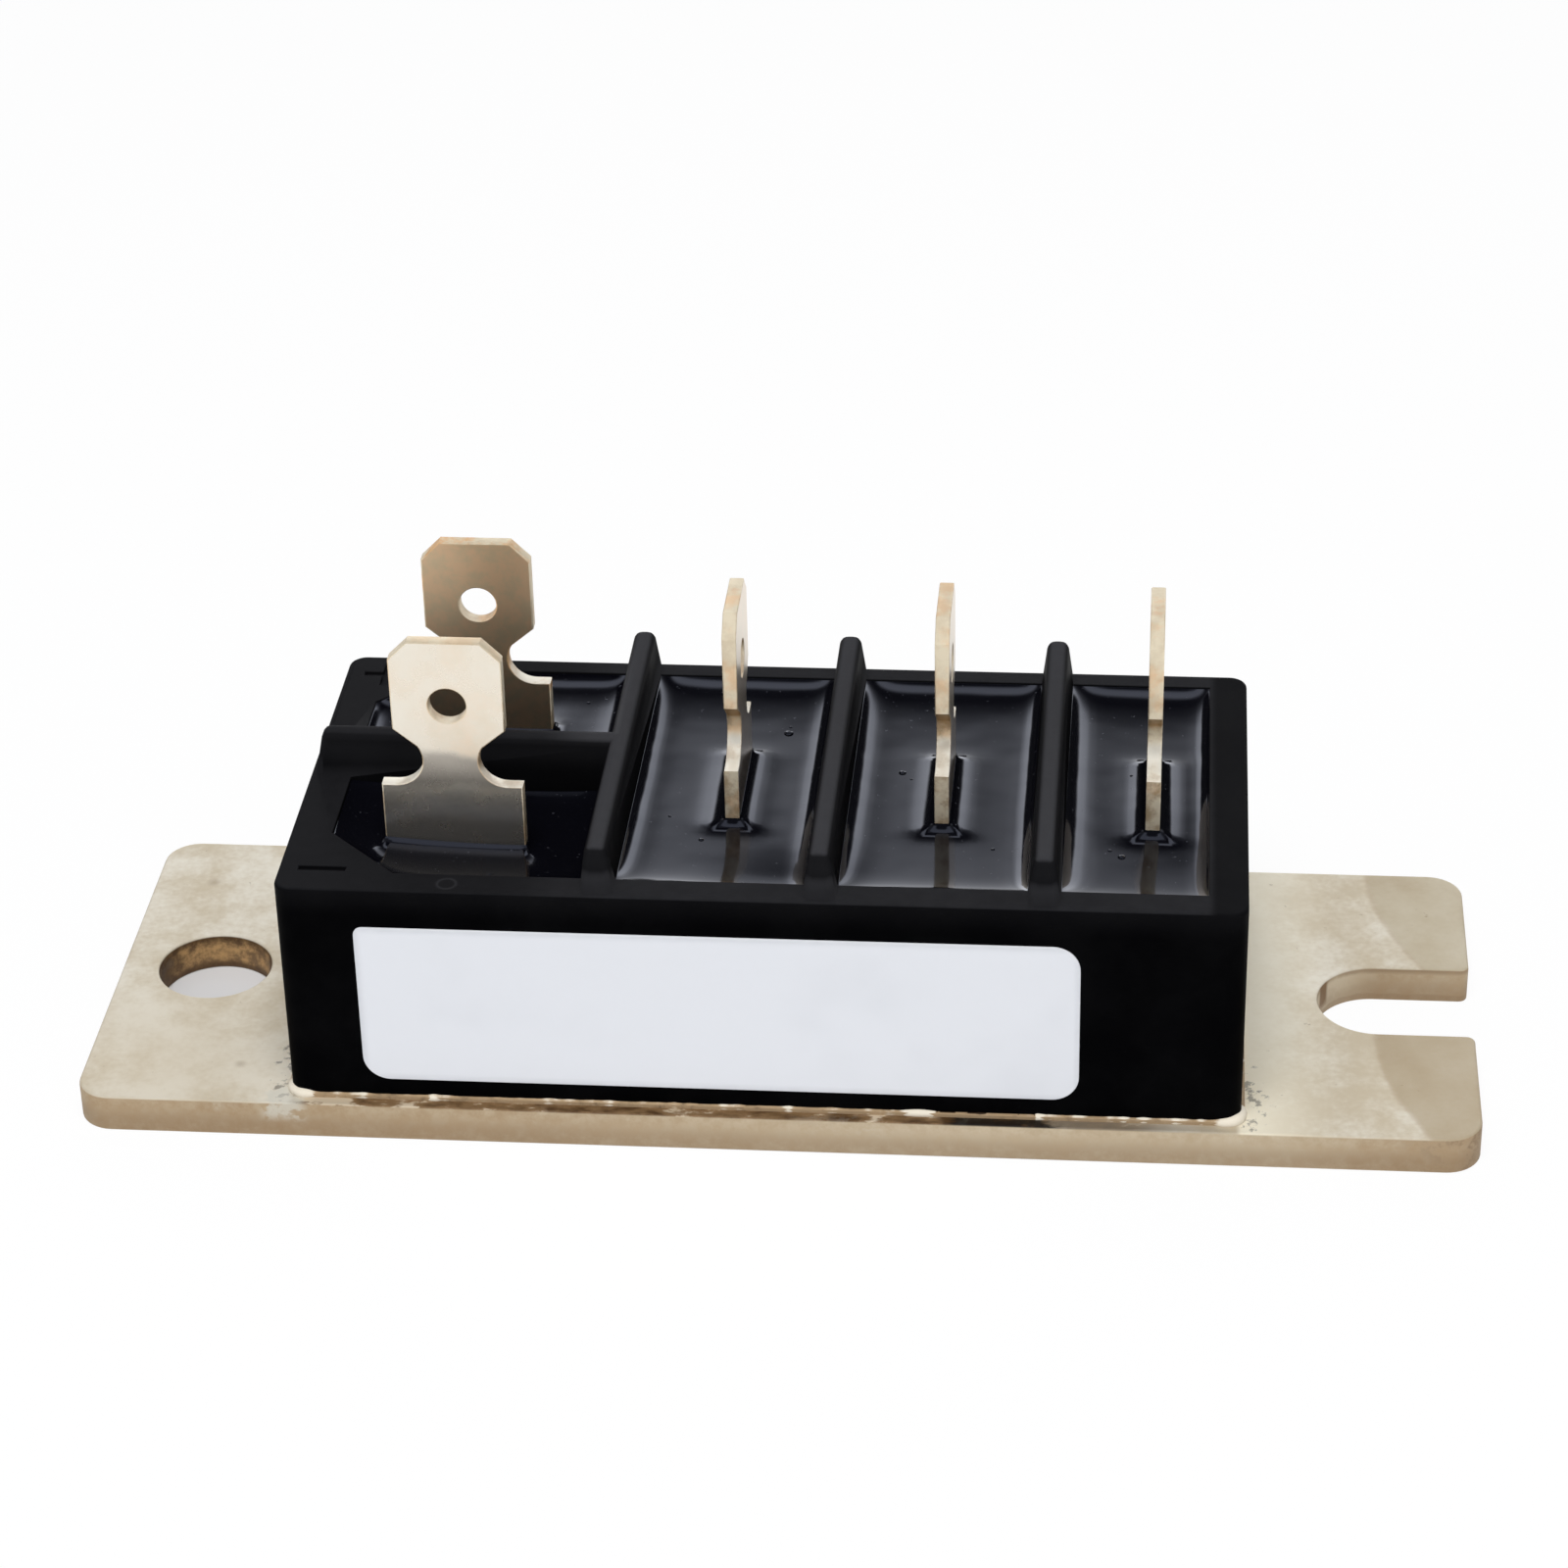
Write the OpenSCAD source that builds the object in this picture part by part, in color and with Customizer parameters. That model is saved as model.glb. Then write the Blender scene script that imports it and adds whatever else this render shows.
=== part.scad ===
// Three-phase bridge rectifier module with five push-on tabs.
// The origin is the middle of the plate's underside. X runs along the plate from the round hole
// to the open slot, Y runs from the labelled front to the rear, and Z is up. Sizes are in millimetres.

/* [Base plate] */
// Length of the plate
plate_l = 78; // [71:0.5:90]
// Width of the plate
plate_w = 27.2; // [24.6:0.1:32]
// Thickness of the plate
plate_t = 2.2; // [1.5:0.1:4]
// Radius of the plate's corners
plate_r = 2; // [0.5:0.1:4]
// Diameter of the round mounting hole
hole_d = 6.5; // [4:0.1:7.5]
// Distance from the plate's left end to the middle of the hole
hole_inset = 5.4; // [5:0.1:7]
// Width of the open mounting slot
slot_w = 6.7; // [4.5:0.1:7.5]
// Distance from the plate's right end to the middle of the slot's round end
slot_inset = 5.4; // [4.5:0.1:7]

/* [Housing] */
// Length of plate left clear at the hole end
hole_end = 12.15; // [11.5:0.05:12.8]
// Length of plate left clear at the slot end
slot_end = 13.15; // [12.5:0.05:13.5]
// Width of plate left clear along the front
front_ledge = 0.9; // [0.5:0.05:1.2]
// Width of plate left clear along the rear
rear_ledge = 0.3; // [0.25:0.05:0.8]
// Height of the frame above its adhesive
housing_h = 13.3; // [12:0.1:18]
// Radius of the frame's upright corners
housing_r = 1; // [0.3:0.1:1.5]
// Thickness of the front wall
wall_front = 2; // [1.4:0.05:2.2]
// Thickness of the rear wall
wall_rear = 1.4; // [1:0.05:2]
// Thickness of the wall at the hole end
wall_left = 2.35; // [1.5:0.05:2.6]
// Thickness of the wall at the slot end
wall_right = 2.15; // [1.5:0.05:2.4]
// Corner cut of the two cells at the hole end
cell_cut = 4; // [3:0.1:4.1]
// Thickness of the adhesive under the frame
bond_t = 0.2; // [0.1:0.05:0.5]
// Width of adhesive pressed out past the frame
bead_w = 0.2; // [0.1:0.05:0.25]

/* [Ribs] */
// Height of the ribs above the frame's rim
rib_h = 2.7; // [1.5:0.1:4]
// Width of a rib at its top
rib_top_w = 1.15; // [0.6:0.05:1.4]
// Width of a rib at the rim and below it
rib_foot_w = 1.8; // [1.5:0.05:2.4]
// Distance that a rib stays back from the frame's faces
rib_gap = 0.3; // [0.2:0.05:1]
// Slope of a rib's ends, as a distance over its height
rib_slope = 0.5; // [0:0.05:1]
// Depth of the partitions below the rim
rib_depth = 4.5; // [2:0.1:5]
// Length that the plus and minus cells have over the next cell
dc_more = 5.6; // [4.5:0.05:6.5]
// Length that the last cell falls short of the cells before it
last_less = 1.1; // [0:0.05:1.8]
// Distance of the lengthwise rib from the plate's middle line
cross_y = 0.2; // [-0.4:0.05:0.4]
// Length of the sunk polarity marks
mark_l = 2.6; // [1.5:0.1:2.8]
// Width of the sunk polarity marks
mark_w = 0.4; // [0.2:0.05:0.6]
// Depth of the sunk polarity marks
mark_depth = 0.3; // [0.1:0.05:0.6]
// Distance from the frame's left face to the middle of the marks
mark_start = 2.4; // [2:0.05:2.6]
// Distance from the frame's front face to the middle of the minus mark
mark_front = 2.25; // [1.8:0.05:2.6]
// Distance from the frame's rear face to the middle of the plus mark
mark_rear = 2.1; // [1.7:0.05:2.4]

/* [Tabs] */
// Width of a tab's blade
tab_w = 6.2; // [5.4:0.05:6.6]
// Thickness of a tab
tab_t = 0.8; // [0.5:0.05:1]
// Height of the tabs above the frame's rim
tab_rise = 11.8; // [10.8:0.1:14]
// Corner cut at the top of a blade
tab_cut = 1.1; // [0.4:0.05:1.6]
// Diameter of the hole in a blade
tab_hole_d = 2.1; // [1.2:0.05:2.6]
// Distance from a tab's top to the middle of its hole
tab_hole_drop = 3.9; // [3:0.05:4.2]
// Width of the shoulder under the blade
shoulder_w = 7.8; // [6.8:0.05:8.2]
// Height of the shoulder's top above the rim
shoulder_rise = 2.9; // [2.6:0.05:3.4]
// Depth of the shoulder below the rim
shoulder_depth = 4; // [1:0.1:5]
// Radius of the notches that make the neck
notch_r = 1.55; // [1:0.05:2]
// Slope of the blade's lower corners, in degrees
blade_slope = 40; // [20:1:50]
// Where that slope starts, as a share of the notch's radius
slope_start = 0.96; // [0.8:0.01:0.98]
// Width of a tab's leg
leg_w = 3; // [2:0.05:3.2]
// Length of a tab's foot
foot_l = 3; // [1.6:0.05:3.1]
// Distance from the rear wall to the middle of the plus tab
plus_gap = 6.1; // [5.4:0.05:6.4]
// Distance from the front wall to the middle of the minus tab
minus_gap = 4.9; // [4.2:0.05:5.4]
// Distance from the frame's left face to the middle of the plus and minus tabs
dc_start = 9.1; // [9:0.05:9.6]
// Distance of the first alternating-current tab past the middle of its cell
ac_shift = 0.575; // [0.2:0.025:0.9]
// Length by which these tabs stand closer together than the ribs
ac_closer = 0.45; // [0.1:0.05:0.8]

/* [Filling] */
// Depth of the hard filling below the rim
fill_gap = 0.45; // [0.2:0.05:1.2]
// Height of the soft gel above the plate
gel_h = 6.3; // [4:0.1:7]

/* [Substrate] */
// Gap between the ceramic and the frame at both ends
ceramic_gap = 0.4; // [0.2:0.05:0.45]
// Gap between the ceramic and the front wall
ceramic_front = 0.7; // [0.3:0.05:1.2]
// Gap between the ceramic and the rear wall
ceramic_rear = 1.9; // [1:0.05:2.4]
// Thickness of the ceramic
ceramic_t = 0.65; // [0.4:0.05:1]
// Thickness of the copper on both faces
copper_t = 0.3; // [0.2:0.05:0.5]
// Width of bare ceramic around the copper
bare_w = 0.7; // [0.4:0.05:0.8]
// Gap between neighbouring tracks
track_gap = 0.7; // [0.4:0.05:0.9]
// Width of the middle tracks
ac_track_w = 6.6; // [6.2:0.05:6.8]
// Gap between the middle tracks
ac_track_gap = 1; // [0.5:0.05:1.8]
// Side of a diode chip
chip_s = 4; // [2.6:0.05:4.2]
// Thickness of a diode chip
chip_t = 0.3; // [0.2:0.05:0.5]
// Thickness of a strap
strap_t = 0.3; // [0.2:0.05:0.5]
// Width of a strap
strap_w = 2.4; // [1.2:0.05:2.6]
// Length of a strap's foot
strap_foot = 1.3; // [0.8:0.05:1.5]
// Distance from a strap's end to the chip's far edge
strap_back = 0.5; // [0.2:0.05:1]
// Gap between a chip and the tab's foot beside it
chip_gap = 0.5; // [0.3:0.05:0.55]
// Distance from a lower chip to the edge of its track
chip_edge = 0.2; // [0.1:0.05:0.4]
// Distance from an upper strap's foot to the edge of its track
upper_edge = 0.2; // [0.1:0.05:0.4]
// Distance from a lower strap's foot to the edge of its track
lower_edge = 0.4; // [0.2:0.05:0.8]
// Length of a middle track past its tab
track_end = 0.5; // [0.3:0.05:0.55]

/* [Label] */
// Length of the label
label_l = 39.5; // [30:0.1:42]
// Height of the label
label_h = 9.9; // [6:0.1:10]
// Thickness of the label
label_t = 0.1; // [0.05:0.05:0.3]
// Radius of the label's corners
label_r = 1.5; // [0.5:0.1:2.5]
// Distance from the frame's left face to the label
label_start = 4.3; // [2:0.1:6]
// Distance from the plate's top to the label
label_lift = 1.3; // [0.8:0.1:1.6]

/* [Hidden] */
$fn = 64;
// Small overlap that keeps cuts clean
e = 0.5;
// Places of the frame's outer faces
left_x = -plate_l / 2 + hole_end;
right_x = plate_l / 2 - slot_end;
front_y = -plate_w / 2 + front_ledge;
rear_y = plate_w / 2 - rear_ledge;
// Places of the frame's inner faces
in_left = left_x + wall_left;
in_right = right_x - wall_right;
in_front = front_y + wall_front;
in_rear = rear_y - wall_rear;
// Heights from the plate's underside
foot_z = plate_t + bond_t;
rim_z = foot_z + housing_h;
fill_z = rim_z - fill_gap;
gel_z = plate_t + gel_h;
ceramic_z = plate_t + copper_t;
track_z = ceramic_z + ceramic_t;
pad_z = track_z + copper_t;
strap_z = pad_z + chip_t;
// Places of the ribs and tabs
cell_l = (right_x - left_x - dc_more + last_less) / 4;
rib_x = [for (i = [0:2]) left_x + dc_more + (i + 1) * cell_l];
dc_x = left_x + dc_start;
ac_pitch = cell_l - ac_closer;
ac_x = [for (i = [0:2]) rib_x[0] + cell_l / 2 + ac_shift + i * ac_pitch];
// Tracks on the ceramic
ceramic_x0 = in_left + cell_cut + ceramic_gap;
ceramic_x1 = in_right - ceramic_gap;
ceramic_y0 = in_front + ceramic_front;
ceramic_y1 = in_rear - ceramic_rear;
track_x0 = ceramic_x0 + bare_w;
track_x1 = ceramic_x1 - bare_w;
track_y0 = ceramic_y0 + bare_w;
track_y1 = ceramic_y1 - bare_w;
dc_track_y = ac_track_w / 2 + track_gap;
ac_track_l = ac_pitch - ac_track_gap;
// The chips stand to the left of each foot
chip_x = [for (x = ac_x) x - foot_l - chip_gap - chip_s / 2];
chip_upper_y = (dc_track_y + track_y1) / 2;
chip_lower_y = -ac_track_w / 2 + chip_edge + chip_s / 2;
// The straps end with a foot on the next track
upper_foot_y = ac_track_w / 2 - upper_edge;
lower_foot_y = -dc_track_y - lower_edge;
// Places of the polarity marks
mark_x = left_x + mark_start;
minus_mark_y = front_y + mark_front;
plus_mark_y = rear_y - mark_rear;

// A box from one corner to the other
module box(x0, x1, y0, y1, z0, z1) {
    translate([x0, y0, z0])
        cube([x1 - x0, y1 - y0, z1 - z0]);
}

// A rectangle with round corners
module round_rect(x0, x1, y0, y1, r) {
    translate([x0 + r, y0])
        square([x1 - x0 - 2 * r, y1 - y0]);
    translate([x0, y0 + r])
        square([x1 - x0, y1 - y0 - 2 * r]);
    for (x = [x0 + r, x1 - r], y = [y0 + r, y1 - r])
        translate([x, y])
            circle(r);
}

// The room inside the frame, with its two corners cut at the hole end
module room(z0, z1) {
    translate([0, 0, z0])
        linear_extrude(z1 - z0)
            polygon([
                [in_right, in_front], [in_right, in_rear],
                [in_left + cell_cut, in_rear], [in_left, in_rear - cell_cut],
                [in_left, in_front + cell_cut], [in_left + cell_cut, in_front]
            ]);
}

// The section of a rib above the rim, and the same shape from the side
module rib_end(foot, top) {
    polygon([[-foot / 2, 0], [foot / 2, 0], [top / 2, rib_h], [-top / 2, rib_h]]);
}

module rib_side(a, b) {
    polygon([[a, 0], [b, 0], [b - rib_slope, rib_h], [a + rib_slope, rib_h]]);
}

// A rib across the frame
module across_rib(x) {
    translate([x, 0, rim_z])
        intersection() {
            translate([0, rear_y, 0])
                rotate([90, 0, 0])
                    linear_extrude(rear_y - front_y)
                        rib_end(rib_foot_w, rib_top_w);
            translate([-rib_foot_w, 0, 0])
                rotate([90, 0, 90])
                    linear_extrude(2 * rib_foot_w)
                        rib_side(front_y + rib_gap, rear_y - rib_gap);
        }
}

// The rib along the frame, between the plus and the minus tab
module along_rib() {
    translate([0, cross_y, rim_z])
        intersection() {
            translate([left_x, 0, 0])
                rotate([90, 0, 90])
                    linear_extrude(rib_x[0] - left_x)
                        rib_end(rib_foot_w, rib_top_w);
            translate([0, rib_foot_w, 0])
                rotate([90, 0, 0])
                    linear_extrude(2 * rib_foot_w)
                        rib_side(left_x + rib_gap, rib_x[0] + rib_slope);
        }
}

// The partitions below the rim, which the filling flows under
module partitions() {
    for (x = rib_x)
        translate([x - rib_foot_w / 2, in_front - e, rim_z - rib_depth])
            cube([rib_foot_w, in_rear - in_front + 2 * e, rib_depth]);
    translate([in_left - e, cross_y - rib_foot_w / 2, rim_z - rib_depth])
        cube([rib_x[0] - in_left + e, rib_foot_w, rib_depth]);
}

// A bar sunk into the rim
module sunk_bar(y, l, w) {
    translate([mark_x - l / 2, y - w / 2, rim_z - mark_depth])
        cube([l, w, mark_depth + e]);
}

// The sunk marks in the two corners at the hole end
module polarity_marks() {
    sunk_bar(minus_mark_y, mark_l, mark_w);
    sunk_bar(plus_mark_y, mark_l, mark_w);
    sunk_bar(plus_mark_y, mark_w, mark_l);
}

module baseplate() {
    color("#d6cdbc")
        difference() {
            linear_extrude(plate_t)
                round_rect(-plate_l / 2, plate_l / 2, -plate_w / 2, plate_w / 2, plate_r);
            translate([-plate_l / 2 + hole_inset, 0, -e])
                cylinder(d = hole_d, h = plate_t + 2 * e);
            translate([plate_l / 2 - slot_inset, 0, -e])
                cylinder(d = slot_w, h = plate_t + 2 * e);
            box(plate_l / 2 - slot_inset, plate_l / 2 + e, -slot_w / 2, slot_w / 2, -e, plate_t + e);
        }
}

module housing() {
    color("#1d1d20")
        difference() {
            union() {
                difference() {
                    translate([0, 0, foot_z])
                        linear_extrude(housing_h)
                            round_rect(left_x, right_x, front_y, rear_y, housing_r);
                    room(foot_z - e, rim_z + e);
                }
                partitions();
                for (x = rib_x)
                    across_rib(x);
                along_rib();
            }
            polarity_marks();
        }
}

module seal_bead() {
    color("#cfc9ad")
        difference() {
            translate([0, 0, plate_t])
                linear_extrude(bond_t)
                    round_rect(
                        left_x - bead_w, right_x + bead_w,
                        front_y - bead_w, rear_y + bead_w, housing_r + bead_w
                    );
            room(plate_t - e, foot_z + e);
        }
}

module label() {
    color("#e2e6ea")
        translate([left_x + label_start, front_y, plate_t + label_lift])
            rotate([90, 0, 0])
                linear_extrude(label_t)
                    round_rect(0, label_l, 0, label_h, label_r);
}

// The part of a tab that stands in the filling, with its middle line on Z
module tab_stem() {
    translate([-shoulder_w / 2, -tab_t / 2, rim_z - shoulder_depth])
        cube([shoulder_w, tab_t, shoulder_depth + shoulder_rise]);
    translate([-leg_w / 2, -tab_t / 2, pad_z])
        cube([leg_w, tab_t, rim_z - shoulder_depth - pad_z]);
    translate([-leg_w / 2, tab_t / 2, pad_z])
        cube([leg_w, foot_l - tab_t, tab_t]);
}

// The blade above the shoulder, with its neck and its hole
module tab_blade() {
    top = rim_z + tab_rise;
    low = rim_z + shoulder_rise;
    slope_top = notch_r * slope_start / cos(blade_slope);
    slope_in = notch_r * slope_start * sin(blade_slope);
    slope_up = notch_r * slope_start * cos(blade_slope);
    translate([0, tab_t / 2, 0])
        rotate([90, 0, 0])
            linear_extrude(tab_t)
                difference() {
                    polygon([
                        [-tab_w / 2, low], [tab_w / 2, low],
                        [tab_w / 2, top - tab_cut], [tab_w / 2 - tab_cut, top],
                        [-tab_w / 2 + tab_cut, top], [-tab_w / 2, top - tab_cut]
                    ]);
                    for (s = [-1, 1])
                        translate([s * tab_w / 2, low + notch_r]) {
                            circle(notch_r);
                            polygon([
                                [-s * slope_in, slope_up], [s * notch_r, 0],
                                [s * notch_r, slope_top + notch_r * tan(blade_slope)]
                            ]);
                        }
                    translate([0, top - tab_hole_drop])
                        circle(d = tab_hole_d);
                }
}

// Places of the five tabs: the foot of each one turns towards its chips
module at_plus() {
    translate([dc_x, in_rear - plus_gap, 0])
        children();
}

module at_minus() {
    translate([dc_x, in_front + minus_gap, 0])
        rotate([0, 0, 180])
            children();
}

module at_ac(i) {
    translate([ac_x[i], 0, 0])
        rotate([0, 0, 90])
            children();
}

module tab() {
    color("#d9c9a6")
        union() {
            tab_stem();
            tab_blade();
        }
}

module terminal_plus() {
    at_plus()
        tab();
}

module terminal_minus() {
    at_minus()
        tab();
}

module terminal_ac(i) {
    at_ac(i)
        tab();
}

// All five stems, as the fillings leave room for them
module stems() {
    at_plus()
        tab_stem();
    at_minus()
        tab_stem();
    for (i = [0:2])
        at_ac(i)
            tab_stem();
}

module substrate_copper() {
    color("#c98d5e")
        box(track_x0, track_x1, track_y0, track_y1, plate_t, ceramic_z);
}

module substrate_ceramic() {
    color("#eeeae0")
        box(ceramic_x0, ceramic_x1, ceramic_y0, ceramic_y1, ceramic_z, track_z);
}

// The two long tracks, one on each side of the middle line
module pad_plus() {
    color("#c98d5e")
        box(track_x0, track_x1, dc_track_y, track_y1, track_z, pad_z);
}

module pad_minus() {
    color("#c98d5e")
        box(track_x0, track_x1, track_y0, -dc_track_y, track_z, pad_z);
}

// A middle track ends just past its tab
module pad_ac(i) {
    color("#c98d5e")
        translate([ac_x[i] + tab_t / 2 + track_end - ac_track_l, -ac_track_w / 2, track_z])
            cube([ac_track_l, ac_track_w, copper_t]);
}

module diode(x, y) {
    color("#5b6068")
        translate([x - chip_s / 2, y - chip_s / 2, pad_z])
            cube([chip_s, chip_s, chip_t]);
}

// A strap with a foot that reaches down from the chip's top to the next track
module strap(x, y0, y1) {
    color("#c98d5e")
        translate([x - strap_w / 2, 0, 0]) {
            translate([0, y0 - strap_foot, pad_z])
                cube([strap_w, strap_foot, strap_t]);
            translate([0, y0 - strap_t, pad_z])
                cube([strap_w, strap_t, chip_t + strap_t]);
            translate([0, y0 - strap_t, strap_z])
                cube([strap_w, y1 - y0 + strap_t, strap_t]);
        }
}

module jumper_upper(i) {
    strap(chip_x[i], upper_foot_y, chip_upper_y + chip_s / 2 - strap_back);
}

module jumper_lower(i) {
    strap(chip_x[i], lower_foot_y, chip_lower_y + chip_s / 2 - strap_back);
}

// The stack on the plate, as the gel leaves room for it
module stack() {
    substrate_copper();
    substrate_ceramic();
    pad_plus();
    pad_minus();
    for (i = [0:2]) {
        pad_ac(i);
        diode(chip_x[i], chip_upper_y);
        diode(chip_x[i], chip_lower_y);
        jumper_upper(i);
        jumper_lower(i);
    }
}

module gel_fill() {
    color("#dfe3e6")
        difference() {
            room(plate_t, gel_z);
            stack();
            stems();
        }
}

module epoxy_fill() {
    color("#2b2c31")
        difference() {
            room(gel_z, fill_z);
            partitions();
            stems();
        }
}

baseplate();
housing();
seal_bead();
label();
epoxy_fill();
gel_fill();
substrate_copper();
substrate_ceramic();
pad_plus();
pad_minus();
pad_ac(0);  // pad_ac_1
pad_ac(1);  // pad_ac_2
pad_ac(2);  // pad_ac_3
diode(chip_x[0], chip_upper_y);  // diode_upper_1
diode(chip_x[1], chip_upper_y);  // diode_upper_2
diode(chip_x[2], chip_upper_y);  // diode_upper_3
diode(chip_x[0], chip_lower_y);  // diode_lower_1
diode(chip_x[1], chip_lower_y);  // diode_lower_2
diode(chip_x[2], chip_lower_y);  // diode_lower_3
jumper_upper(0);  // jumper_upper_1
jumper_upper(1);  // jumper_upper_2
jumper_upper(2);  // jumper_upper_3
jumper_lower(0);  // jumper_lower_1
jumper_lower(1);  // jumper_lower_2
jumper_lower(2);  // jumper_lower_3
terminal_plus();
terminal_minus();
terminal_ac(0);  // terminal_ac_1
terminal_ac(1);  // terminal_ac_2
terminal_ac(2);  // terminal_ac_3
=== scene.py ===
"""Looks of a three-phase bridge rectifier module, built around its packed part.

The file is laid out as an add-on and is run as a script.
"""

import math

import bmesh
import bpy
from bpy.props import FloatProperty, FloatVectorProperty, PointerProperty
from mathutils import Matrix, Vector, noise
from mathutils.geometry import delaunay_2d_cdt, tessellate_polygon


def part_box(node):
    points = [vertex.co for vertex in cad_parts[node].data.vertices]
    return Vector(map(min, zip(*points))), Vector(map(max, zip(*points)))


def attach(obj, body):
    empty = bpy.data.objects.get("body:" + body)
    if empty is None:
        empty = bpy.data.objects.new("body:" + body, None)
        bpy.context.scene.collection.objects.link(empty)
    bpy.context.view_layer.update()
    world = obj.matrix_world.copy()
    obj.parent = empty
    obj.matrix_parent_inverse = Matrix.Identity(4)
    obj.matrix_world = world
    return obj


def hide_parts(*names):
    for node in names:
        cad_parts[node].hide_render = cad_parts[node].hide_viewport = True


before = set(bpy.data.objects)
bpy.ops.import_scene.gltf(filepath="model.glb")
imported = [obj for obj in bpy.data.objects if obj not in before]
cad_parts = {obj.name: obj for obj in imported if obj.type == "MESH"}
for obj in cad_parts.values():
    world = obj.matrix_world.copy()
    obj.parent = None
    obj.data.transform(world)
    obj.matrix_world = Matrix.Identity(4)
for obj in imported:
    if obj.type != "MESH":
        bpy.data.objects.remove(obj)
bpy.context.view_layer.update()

bl_info = {
    "name": "Bridge rectifier module",
    "version": (1, 0, 0),
    "blender": (4, 5, 0),
    "location": "3D View > Sidebar > Rectifier",
    "description": "Dresses the packed rectifier module with its finishes and its stage",
    "category": "Object",
}

# Sizes and places are in millimetres, and a finished mesh is scaled to metres
MM = 0.001


def node_box(node):
    """The lowest and highest corner of a solid."""
    low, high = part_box(node)
    return low / MM, high / MM


# Places that the pieces share
PLATE_LOW, PLATE_HIGH = node_box("baseplate")
FRAME_LOW, FRAME_HIGH = node_box("housing")
ROOM_LOW, ROOM_HIGH = node_box("epoxy_fill")
LABEL_LOW, LABEL_HIGH = node_box("label")
SEAL_LOW, SEAL_HIGH = node_box("seal_bead")
FIXING_INSET = 5.4
HOLE_X = PLATE_LOW.x + FIXING_INSET
SLOT_X = PLATE_HIGH.x - FIXING_INSET
RIB_X = (-9.2, 2.85, 14.9)
RIB_HALF = 0.9
RIB_HEIGHT = 2.7
CROSS_RIB_Y = 0.2
RIM_Z = FRAME_HIGH.z - RIB_HEIGHT
PARTITION_Z = RIM_Z - 4.5
SHOULDER_LOW = RIM_Z - 4.0
SHOULDER_HIGH = RIM_Z + 2.9
# Half the width and half the thickness of a tab where it stands in the filling
TAB_HALF = (3.9, 0.4)
# Each tab's place, its turn, and how far it is tarnished, from 0 to 1; the plus tab's high value is partly
# painted shade
TABS = {
    "plus": (-17.75, 5.8, 0.0, 0.85),
    "minus": (-17.75, -5.8, math.pi, 0.0),
    "ac_1": (-2.6, 0.0, math.pi / 2, 0.25),
    "ac_2": (9.0, 0.0, math.pi / 2, 0.2),
    "ac_3": (20.6, 0.0, math.pi / 2, 0.3),
}

# Cut corners of the filling, half the length of a cell, and the least depth of its face below the rim
CELL_CUT = 4.0
CELL_HALF = 11.3
BELOW_RIM = 0.04
# How the filling draws up at a wall: share and reach of its broad and of its steep part
DRAWN_UP = {
    "rear": (0.92, 1.2, 0.0, 0.2),
    "left": (0.12, 1.1, 0.88, 0.6),
    "right": (0.04, 1.0, 0.86, 0.34),
    "front": (0.93, 0.62, 0.0, 0.25),
    "tab": (0.15, 1.0, 0.8, 0.55),
}
# How much faster it falls off past a tab's narrow ends
PAST_ENDS = 2.2
# Distances of the rings of points that follow the walls and the tabs
RING_STEPS = (0.0, 0.04, 0.08, 0.13, 0.19, 0.26, 0.35, 0.46, 0.6, 0.8, 1.1)
# Distances between their points along a wall and along a tab
WALL_STEP = 0.4
TAB_STEP = 0.3
# Shallow dips in the filling: how their cells' tabs are named, then place, reach and depth
DIPS = (
    ("ac", 0.9, -11.5, 2.6, 0.36),
    ("ac", 23.2, -9.4, 4.0, 0.26),
    ("minus", -19.0, -4.5, 4.0, 0.45),
    ("minus", -12.5, -4.5, 4.0, 0.6),
)
# Bubbles in the filling: the tab of their cell, then place and radius
BUBBLES = (
    ("ac_1", -0.35, 6.5, 0.28),
    ("ac_1", -0.3, 7.2, 0.1),
    ("ac_1", -6.2, -3.0, 0.1),
    ("ac_1", -4.2, -5.4, 0.16),
    ("ac_2", 6.45, 2.4, 0.22),
    ("ac_2", 7.0, 1.7, 0.09),
    ("ac_2", 11.9, -5.6, 0.12),
    ("ac_3", 19.35, 2.55, 0.1),
    ("ac_3", 18.95, -5.9, 0.22),
    ("ac_3", 18.3, -5.3, 0.12),
    ("minus", -15.5, -8.9, 0.14),
    ("plus", -12.3, 9.4, 0.12),
)
# Where the bead of adhesive along the front swells, where it is bare, and where it is pale again
BEAD_SWELLS, BEAD_BARE, BEAD_PALE = 7.0, 9.4, 15.1
# Height of the bead's middle, and distance between the points that it follows
BEAD_HEIGHT = 0.06
BEAD_STEP = 0.12
# Corner radii of the adhesive, of the frame's room and of its foot
SEAL_ROUND, ROOM_ROUND, FOOT_ROUND = 1.2, 0.4, 1.0


def number(name, description, value, **options):
    """A number that is never below 0."""
    return FloatProperty(name=name, description=description, default=value, min=0.0, **options)


def length(name, description, value):
    """A size that is given in millimetres and kept in metres."""
    return number(name, description, value * MM, precision=5, unit="LENGTH", subtype="DISTANCE")


def share(name, description, value):
    """A number from 0 to 1."""
    return number(name, description, value, max=1.0, subtype="FACTOR")


def tint(name, description, red, green, blue):
    """A colour that is given from 0 to 255, as it looks on a screen."""
    return FloatVectorProperty(name=name, description=description, size=3, min=0.0, max=1.0,
                               default=(red / 255, green / 255, blue / 255), subtype="COLOR_GAMMA")


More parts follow.
